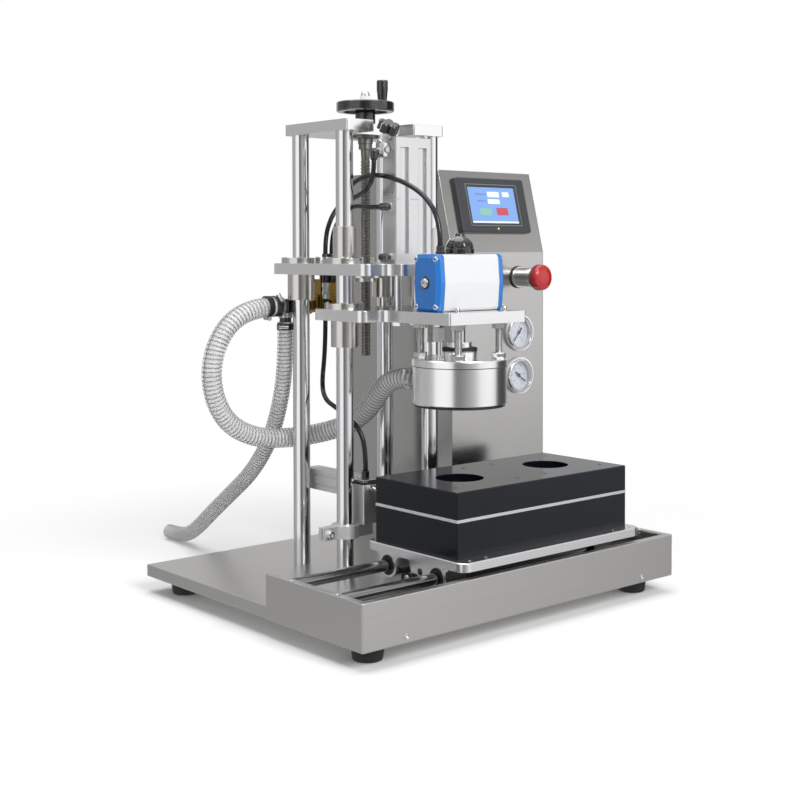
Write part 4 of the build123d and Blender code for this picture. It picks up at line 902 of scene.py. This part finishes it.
def hose_clamp(name, body, at, axis, radius, width, band, side):
    """A clamp round a hose end, with its screw housing on the side given."""
    half = width / 2
    along = Vector(axis).normalized()
    out = Vector(side).normalized()
    profile = [(radius - 0.5, -half), (radius + 0.7, 0.3 - half), (radius + 0.7, half - 0.3),
               (radius - 0.5, half)]
    seat = Vector(at) + out * (radius + 2.4)
    across = along.cross(out)
    worm = [(0.05, -7), (2.4, -7), (2.8, -6.4), (2.8, 4), (3.4, 4.2), (3.4, 7), (2.8, 7.6), (0.05, 7.6)]
    return assembly(name, body, [(at, axis, profile, band, ()), (seat, across, worm, zinc, ())], 40)


LINE_Y = middle("hose_tee").y
LINE_Z = loop_route[0][2] * 1000
TEE_X = pump_route[0][0] * 1000
LOOP_START = loop_route[0][0] * 1000
PUMP_START = pump_route[0][2] * 1000
PORT_Z = 323
hose_clamp("tee_clamp_outer", "lift", (LOOP_START - 24, LINE_Y, LINE_Z), (-1, 0, 0), 1000 * LOOP_HOSE_R, 9,
           rubber, (0, 0, -1))
hose_clamp("tee_clamp_left", "lift", (LOOP_START - 9, LINE_Y, LINE_Z), (-1, 0, 0), 1000 * LOOP_HOSE_R, 11,
           black_plastic, (0, -1, 1))
hose_clamp("tee_clamp_down", "lift", (TEE_X, LINE_Y, PUMP_START - 7), (0, 0, -1), 1000 * PUMP_HOSE_R, 10,
           black_plastic, (-1, -1, 0))
hose_clamp("port_clamp", "head", (-44.9, -59.5, PORT_Z), (-0.165, 0.986, 0), 1000 * LOOP_HOSE_R, 9, zinc,
           (-1, 0, 0.4))
assembly("tee_collars", "lift", [
    ((TEE_X, LINE_Y, 410), (0, 0, -1), [(9.2, -6), (10.6, -5.6), (10.6, 5.6), (9.2, 6)], zinc, ()),
    ((-104, LINE_Y, LINE_Z), (-1, 0, 0), [(9.8, -3), (11.4, -2.4), (11.4, 2.4), (9.8, 3)], zinc, (1, 2)),
    ((TEE_X, LINE_Y, LINE_Z), (0, 0, 1), [(10.5, -10.6), (12.2, -9), (12.2, 9), (10.5, 10.6),
                                          (0.05, 10.6)], black_plastic, ())], 36)

# Vacuum valve: body, coil with its steel yoke, cap nut and nipple
VALVE_X = -51.0
VALVE_FRONT = 130
FOOT_FRONT = 127
TAB_SHORT = 17
tab_back = corners("vacuum_valve")[1].y - TAB_SHORT
for name, half_w, (front, low), (back, high), edge, material in (
        ("valve_body", 20, (VALVE_FRONT, 411), (158, 437), 2.5, brass),
        ("valve_yoke", 13, (131, 437), (157, 461), 1.0, brass),
        ("valve_coil", 11.4, (129.4, 439), (158.6, 458.4), 2.0, rubber),
        ("valve_foot", 15, (FOOT_FRONT, 407), (VALVE_FRONT, 470), 0.8, brass),
        ("valve_foot_tab", 15, (FOOT_FRONT, 467), (tab_back, 470), 0.8, brass)):
    rounded_box(name, "lift", (VALVE_X - half_w, front, low),
                                   (VALVE_X + half_w, back, high), edge, material)
valve_turned = assembly("valve_nipples", "lift", [
    ((VALVE_X - 20, LINE_Y, LINE_Z), (-1, 0, 0),
     [(11.5, 0), (11.5, 7), (10.5, 8), (8, 8), (8, 12), (7, 12.6), (8, 15), (7, 15.6), (8, 18), (7, 18.6),
      (8, 21), (7.2, 29)], brass, (0, 1, 2)),
    ((VALVE_X + 20, LINE_Y, LINE_Z), (1, 0, 0), [(10.5, 0), (10.5, 3), (9.6, 3.6), (0.05, 3.6)], nickel,
     (0, 1, 2)),
    ((VALVE_X, VALVE_FRONT, LINE_Z), (0, -1, 0), [(8.6, 0), (8.6, 2.6), (7.8, 3), (0.05, 3)], nickel,
     ())], 36)
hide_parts("vacuum_valve")

SUPPLY = Vector(air_tubes[3][5][0]) * 1000
lathe("supply_coupling", "lift", SUPPLY, (0, 0, -1),
      [(4.4, -0.5), (5.6, 0), (5.6, 7), (4.6, 8), (4.6, 12), (5.6, 13), (5.6, 23), (5.0, 24), (3.6, 24)],
      nickel, 28)

# Push-in fittings of the lift
SLEEVE = [(4.6, 0), (4.6, 1.6), (4.0, 2.0), (3.7, 2.0)]


def push_elbow(seat, out, leg, reach, drop):
    """Turned parts of a push-in elbow: hexagon base, neck, ball and the leg that takes the tube."""
    seat = Vector(seat)
    out = Vector(out)
    leg = Vector(leg)
    ball = seat + out * reach
    globe = [(FITTING_R * sin(radians(a)) + 0.05, -FITTING_R * cos(radians(a))) for a in range(0, 181, 15)]
    return [
        (seat, out, [(5.2, 0), (5.4, 0.4), (5.4, 3.2), (4.9, 3.6), (0.05, 3.6)], nickel, (0, 1, 2, 3)),
        (seat + out * 3.6, out, [(4.2, 0), (4.2, reach - 3.6)], black_plastic, ()),
        (ball, leg, globe, black_plastic, ()),
        (ball, leg, [(FITTING_R, 0), (FITTING_R, drop - 2.6), (FITTING_R - 0.5, drop - 2.2),
                     (4.6, drop - 2.2)], black_plastic, ()),
        (ball + leg * (drop - 2.2), leg, SLEEVE, rubber, ())]


cylinder_left = CYLINDER[0].x
PORT_Y = -37.0
PORT_ZS = (495.0, 566.5)
THROTTLE = Vector((cylinder_left - 7, -28, 647))
KNOB_LEAN = Vector((0, -sin(radians(30)), cos(radians(30))))
KNOB_GAP = 17.0
BULKHEAD_XS = (-62.0, -50.0, -38.0)
BULKHEAD_Y = 120.0
lift_top = top("lift_plate")
lift_bottom = bottom("lift_plate")
fitting_parts = []
for z in PORT_ZS:
    fitting_parts += push_elbow((cylinder_left, PORT_Y, z), (-1, 0, 0), (0, 1, 0), 10, 12)
throttle_side = THROTTLE + Vector((-7, 0, -3))
fitting_parts += push_elbow(throttle_side, (-1, 0, 0), (0, 0, -1), 10, 12)
stem_foot = THROTTLE + Vector((0, 0, 11))
fitting_parts += [
    (stem_foot, KNOB_LEAN, [(6.6, -3), (6.6, 2.4), (6.0, 3), (5, 3), (5, 7), (4.2, 7.4), (4.2, 9.8),
                            (5, 10.2), (5, KNOB_GAP - 0.3), (0.05, KNOB_GAP - 0.3)], nickel, (0, 1, 2))]
for x in BULKHEAD_XS:
    fitting_parts += [
        ((x, BULKHEAD_Y, lift_top), (0, 0, 1), [(5.6, 0), (5.6, 4), (5.1, 4.4), (4.6, 4.4), (4.6, 11.8),
                                                (4.2, 12), (0.05, 12)], nickel, (0, 1, 2)),
        ((x, BULKHEAD_Y, lift_top + 12), (0, 0, 1), [(5.2, -3), (5.2, 1), (4.6, 2), (3.7, 2)],
         black_plastic, ()),
        ((x, BULKHEAD_Y, lift_bottom), (0, 0, -1), [(5.6, 0), (5.6, 4), (5.1, 4.4), (4.9, 4.4), (4.9, 13),
                                                    (4.2, 14), (0.05, 14)], black_plastic, (0, 1, 2))]
fittings = assembly("lift_fittings", "lift", fitting_parts, 24)
rounded_box("throttle_block", "lift", THROTTLE - Vector((7, 9, 11)),
            THROTTLE + Vector((7, 9, 11)), 1.6, nickel)
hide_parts("air_fittings")
lathe("throttle_plug", "lift", THROTTLE + Vector((0, -9, 0)), (0, -1, 0),
      [(4.6, 0), (4.6, 1.6), (4.0, 2.2), (0.05, 2.2)], zinc, 24, (0, 1, 2))

# Fittings of the head: actuator elbow, vent valve and the hose port
ELBOW_X = -67.0
VENT = (-73.0, HEAD_Y - 6)
PORT_OUT = 64.8
port_dir = Vector((cos(radians(99.5)), sin(radians(99.5)), 0))
port_seat = Vector((HEAD_X, HEAD_Y, PORT_Z)) + port_dir * PORT_OUT
head_parts = [
    ((ELBOW_X, HEAD_Y, top("actuator_body")), (0, 0, 1),
     [(5.5, 0), (5.5, 3.4), (5, 3.8), (4.9, 3.8), (5.4, 4.4), (5.4, 9.4), (4.6, 9.8)], black_plastic,
     (0, 1, 2)),
    ((ELBOW_X, HEAD_Y, top("actuator_body") + 9.8), (0, 0, 1), SLEEVE, rubber, ()),
    ((*VENT, lid_top), (0, 0, 1),
     [(5.4, 0), (5.4, 3), (3.5, 3.4), (3.5, 24.6), (6.2, 25), (7, 25.8), (7, 43.2), (6.2, 44), (0.05, 44)],
     nickel, (5, 6)),
    (port_seat, port_dir, [(11.6, 0.4), (12, 1), (12, 10.4), (11.4, 11), (8, 11), (8, 11.8), (0.05, 11.8)],
     nickel, (0, 1, 2, 3)),
    (port_seat, port_dir, [(8, -6), (8, 0.4), (11.6, 0.4)], nickel, ())]
head_fittings = assembly("head_fitting_set", "head", head_parts, 36)
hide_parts("head_fittings")
lathe("lid_seam", "head", (HEAD_X, HEAD_Y, bottom("chamber_lid")), (0, 0, 1),
      [(64.6, -1.1), (65.35, -1.0), (65.35, -0.1), (64.6, 0)], rubber, 96)
gland_mid = middle("shaft_gland")
lathe("gland_ring", "head", (gland_mid.x, gland_mid.y, lid_top), (0, 0, 1),
      [(23.9, 10), (24.6, 10.6), (24.6, 13.6), (23.6, 14.5), (17.2, 14.7)], rubber, 56)
lathe("gland_groove", "head", (gland_mid.x, gland_mid.y, lid_top), (0, 0, 1),
      [(23.9, 8.6), (24.15, 8.7), (24.15, 9.9), (23.9, 10)], screw_steel, 56)

# Seals of the linear bearings, seen where the rails run into the table's housings
bearings_low, bearings_high = corners("linear_bearings")
BEARING_LEN = 38.0
bearing_ends = ((bearings_low.x, -1), (bearings_low.x + BEARING_LEN, 1),
                (bearings_high.x - BEARING_LEN, -1), (bearings_high.x, 1))
seal_places = [((end, y, middle("rails").z), (out, 0, 0)) for y in RAIL_YS for end, out in bearing_ends]
many("bearing_seals", "table", seal_places,
     [(13.8, -0.9), (13.9, 0.2), (9.2, 0.3), (8.2, 0.1), (8.2, -0.4)], rubber, 40)
STOP_YS = (-126, -100)
STOP_ZS = (51, 64)
stop_xs = {"left": bearings_low.x + BEARING_LEN / 2, "right": bearings_high.x - BEARING_LEN / 2}
for side, x in stop_xs.items():
    rounded_box(f"travel_stop_{side}", "table", (x - 9, STOP_YS[0], STOP_ZS[0]),
                (x - 4, STOP_YS[1], STOP_ZS[1]), 1.5, rubber)
many("travel_stop_screws", "table",
     [((x - 9, sum(STOP_YS) / 2, sum(STOP_ZS) / 2), (-1, 0, 0)) for x in stop_xs.values()],
     button_head, zinc, 20, (5,))

# Lock unit: lid of the bracket box, screws on the back of its cylinder, side fittings and clamp screws
BOX = corners("lock_bracket")
LOCK = corners("lock_cylinder")
rounded_box("lock_box_lid", "frame", BOX[0] + Vector((-1, -1, 60)), BOX[1] + Vector((1, 0, 0.6)), 0.6,
            plate_silver)
# A thin black rubber strip under the lid is painted shade in the gap between the lid and the box.
rounded_box("lock_box_gap_shade", "frame", BOX[0] + Vector((-0.3, -0.3, 56.6)), (BOX[1].x + 0.3, BOX[1].y - 0.5,
            BOX[0].z + 60), 0.2, rubber)
lock_turned = [
    ((BOX[1].x, -4, BOX[0].z + 46), (1, 0, 0), [(4.6, 0), (4.6, 3), (4, 3.4), (3.2, 3.4), (3.2, 6),
                                                (2.4, 6.6), (0.05, 6.6)], chrome, (0, 1, 2)),
    ((BOX[1].x, 8, BOX[0].z + 30), (1, 0, 0), [(3, 0), (3, 1.6), (2.4, 2), (0.05, 2)], zinc, (0, 1))]
lock_mid = (LOCK[0] + LOCK[1]) / 2
small_head = [(2.4, 0), (2.4, 1.4), (2, 1.8), (1.2, 1.8), (1.1, 0.6), (0.05, 0.6)]
for sx in (-1, 1):
    for sz in (-1, 1):
        lock_turned.append(((lock_mid.x + sx * 8.5, LOCK[1].y, lock_mid.z + sz * 10.5), (0, 1, 0),
                            small_head, zinc, (3, 4)))
clamp_ear = corners("column_clamp")[0].x + 8
clamp_mid = middle("column_clamp")
lock_turned += [
    ((clamp_ear, COLUMN_YS[0] - 12, clamp_mid.z), (0, -1, 0), [(5, 0), (5, 0.6), (4.4, 1), (2.6, 1),
                                                               (2.4, -2), (0.05, -2)], zinc, (3, 4)),
    ((clamp_ear, COLUMN_YS[0] + 7, clamp_mid.z), (0, 1, 0), [(5.4, 0), (5.4, 4.2), (4.8, 4.8), (3, 4.8),
                                                             (3, 6), (0.05, 6)], zinc, (0, 1, 2))]
assembly("lock_unit_fasteners", "frame", lock_turned)
lathe("lock_elbow_sleeve", "frame", (-84, -1.5, top("lock_fitting") - 2), (0, 0, 1), SLEEVE, rubber, 24)

# Handwheel details: washer of the hub and pin end of the handle
lathe("hub_washer", "handwheel", (SCREW_X, SCREW_Y, top("handwheel_nut") - 17.5), (0, 0, 1),
      [(11.6, -0.2), (11.6, 1.0), (10.9, 1.5), (7.6, 1.5)], nickel, 36)
grip_low, grip_high = corners("handle_grip")
grip_mid = (grip_low + grip_high) / 2
lathe("handle_pin_cap", "handle", (grip_mid.x, grip_mid.y, grip_high.z), (0, 0, 1),
      [(4.0, -0.3), (3.6, 0.25), (1.8, 0.3), (1.6, -0.4), (0.05, -0.4)], zinc, 24, (3,))

# Domed position indicator with eight flutes, and the round cap on top of it
DOME_SEGMENTS = 64
FLUTES = 8
FLUTE_SHARE = 0.03
FLUTES_LOW = 9.5
FLUTES_HIGH = 24
dome_low = bottom("position_indicator")
dome_profile = [(20.5, 0), (20.5, 6.5), (19.4, 7.2), (19.4, 9.4), (20.0, 10.0), (19.2, 13.2), (17.4, 16.6),
                (14.6, 19.8), (11.4, 22.2), (8.2, 23.8), (7.6, 24.2), (7.4, 26.2), (6.4, 27.5), (3, 28),
                (0.05, 28)]
dome_verts = []
for radius, height in dome_profile:
    for step in range(DOME_SEGMENTS):
        angle = 2 * pi * step / DOME_SEGMENTS
        flute = 1 - FLUTE_SHARE * (1 + cos(FLUTES * angle)) if FLUTES_LOW < height < FLUTES_HIGH else 1
        dome_verts.append(mm(HEAD_X + radius * flute * cos(angle), HEAD_Y + radius * flute * sin(angle),
                             dome_low + height))
dome_faces = ring_faces(len(dome_profile), DOME_SEGMENTS)
dome = crease(solid("indicator_dome", "spindle", dome_verts, dome_faces, [black_plastic]), 40)
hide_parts("position_indicator")

# Studio: a white world, with soft bright and dark stretches round the set for what metal mirrors.
# The rings give a tone by compass angle, and the pairs below them are heights of the direction.
CEILING_TONE = 0.95
SHOULDER_TONE = 0.46
BELOW_TONE = 0.54
RINGS_MEET = (-0.2, -0.02)
RINGS_END = (0.26, 0.38)
SHOULDER_END = (0.42, 0.8)
SHADOW_NEAR = 0.38
SHADOW_FAR = 1.1
FLOOR_REACH = 30
AMBIENT = 0.36
high_ring = [
    (-180, 1.1), (-151, 1.1), (-146, 0.12), (-120, 0.28), (-96, 0.5), (-82, 1.0), (-38, 1.3), (-30, 0.06),
    (8, 0.08), (30, 0.66), (84, 0.7), (100, 0.32), (124, 0.50), (138, 0.42), (158, 0.55), (168, 1.1),
    (180, 1.1)]
low_ring = [
    (-180, 1.0), (-151, 0.95), (-146, 0.12), (-120, 0.25), (-96, 0.45), (-80, 0.82), (-55, 0.86),
    (-47, 0.62), (-38, 0.56), (-30, 0.04), (20, 0.06), (60, 0.5), (90, 0.5), (104, 0.3), (124, 0.46),
    (138, 0.42), (158, 0.5), (168, 1.0), (180, 1.0)]


def visible_rays(tree):
    """Masks of rays that show the background: straight or through glass, and mirrored."""
    rays = add_node(tree, "ShaderNodeLightPath")
    straight = calc(tree, "MAXIMUM", rays.outputs["Is Camera Ray"], rays.outputs["Is Transmission Ray"])
    return straight, rays.outputs["Is Glossy Ray"]


def tone_ramp(tree, turn, tones):
    """Grey tone by compass angle, from pairs of degrees and tone."""
    ramp = add_node(tree, "ShaderNodeValToRGB")
    link(tree, turn, ramp.inputs["Fac"])
    stops = ramp.color_ramp.elements
    for index, (angle, tone) in enumerate(tones):
        position = (angle + 180) / 360
        stop = stops[0] if index == 0 else stops.new(position)
        stop.position = position
        stop.color = (tone, tone, tone, 1)
    stops.remove(stops[-1])
    return ramp.outputs["Color"]


def build_world():
    world = bpy.data.worlds.new("studio")
    bpy.context.scene.world = world
    world.use_nodes = True
    tree = world.node_tree
    split = add_node(tree, "ShaderNodeSeparateXYZ")
    link(tree, add_node(tree, "ShaderNodeTexCoord").outputs["Generated"], split.inputs["Vector"])
    compass = calc(tree, "ARCTAN2", split.outputs["Y"], split.outputs["X"])
    turn = remap(tree, compass, 0.0, 1.0, -pi, pi)
    rings = [tone_ramp(tree, turn, stops) for stops in (low_ring, high_ring)]
    lifted = remap(tree, split.outputs["Z"], 0.0, 1.0, *RINGS_MEET, smooth=True)
    mirrored = mixed(tree, lifted, *rings)
    steepness = calc(tree, "ABSOLUTE", split.outputs["Z"])
    steep = remap(tree, steepness, 0.0, 1.0, *RINGS_END, smooth=True)
    overhead = remap(tree, steepness, SHOULDER_TONE, CEILING_TONE, *SHOULDER_END, smooth=True)
    above = calc(tree, "GREATER_THAN", split.outputs["Z"], 0.0)
    beyond = remap(tree, above, BELOW_TONE, overhead)
    mirrored = mixed(tree, steep, mirrored, beyond)
    straight, glossy = visible_rays(tree)
    plain = remap(tree, straight, AMBIENT, 1.0)
    background = tree.nodes["Background"]
    link(tree, mixed(tree, glossy, plain, mirrored), background.inputs["Color"])


def build_floor():
    """A pale floor that keeps the shadow near the object and fades to the background's white."""
    material = bpy.data.materials.new("studio floor")
    material.use_nodes = True
    tree = material.node_tree
    shader = tree.nodes["Principled BSDF"]
    shader.inputs["Base Color"].default_value = (0.93, 0.93, 0.93, 1)
    shader.inputs["Roughness"].default_value = 0.8
    shader.inputs["Specular IOR Level"].default_value = 0.1
    place = add_node(tree, "ShaderNodeNewGeometry").outputs["Position"]
    away = add_node(tree, "ShaderNodeVectorMath", operation="LENGTH")
    link(tree, place, away.inputs[0])
    far = remap(tree, away.outputs["Value"], 0.0, 1.0, SHADOW_NEAR, SHADOW_FAR, smooth=True)
    straight, glossy = visible_rays(tree)
    shown = calc(tree, "MULTIPLY", far, calc(tree, "MAXIMUM", straight, glossy))
    white = add_node(tree, "ShaderNodeEmission")
    blend = add_node(tree, "ShaderNodeMixShader")
    link(tree, shown, blend.inputs["Fac"])
    link(tree, shader.outputs["BSDF"], blend.inputs[1])
    link(tree, white.outputs["Emission"], blend.inputs[2])
    link(tree, blend.outputs["Shader"], tree.nodes["Material Output"].inputs["Surface"])
    reach = FLOOR_REACH
    floor = solid("floor", None, [(-reach, -reach, 0), (reach, -reach, 0), (reach, reach, 0),
                                  (-reach, reach, 0)], [(0, 1, 2, 3)], [material], smooth=False)
    floor.visible_glossy = False


def softbox(name, at, target, size, power):
    """A rectangular lamp that faces a target."""
    lamp = bpy.data.lights.new(name, "AREA")
    lamp.shape = "RECTANGLE"
    lamp.size, lamp.size_y = size
    lamp.energy = power
    holder = bpy.data.objects.new(name, lamp)
    bpy.context.scene.collection.objects.link(holder)
    holder.location = at
    holder.rotation_euler = (Vector(target) - Vector(at)).to_track_quat("-Z", "Y").to_euler()


build_world()
build_floor()
MACHINE_MIDDLE = (0, 0, 0.35)
softbox("key softbox", (-0.3, -3.0, 2.1), MACHINE_MIDDLE, (1.6, 1.6), 84)
softbox("left softbox", (-2.9, 0.6, 2.3), MACHINE_MIDDLE, (1.4, 1.4), 10)
softbox("top softbox", (0.0, 0.3, 3.0), (0, 0, 0.3), (2.4, 2.4), 50)

# Camera at the place from which the machine was photographed
camera_data = bpy.data.cameras.new("camera")
camera_data.lens = 60.0
camera_data.sensor_width = 36
camera_data.shift_x = -0.0036
camera_data.shift_y = -0.14
camera = bpy.data.objects.new("camera", camera_data)
bpy.context.scene.collection.objects.link(camera)
camera.location = (-1.2874, -1.4785, 0.5076)
camera.rotation_euler = (radians(90 - 1.7), radians(0.1), radians(-40.8))
bpy.context.scene.camera = camera
bpy.context.scene.view_settings.view_transform = "Standard"
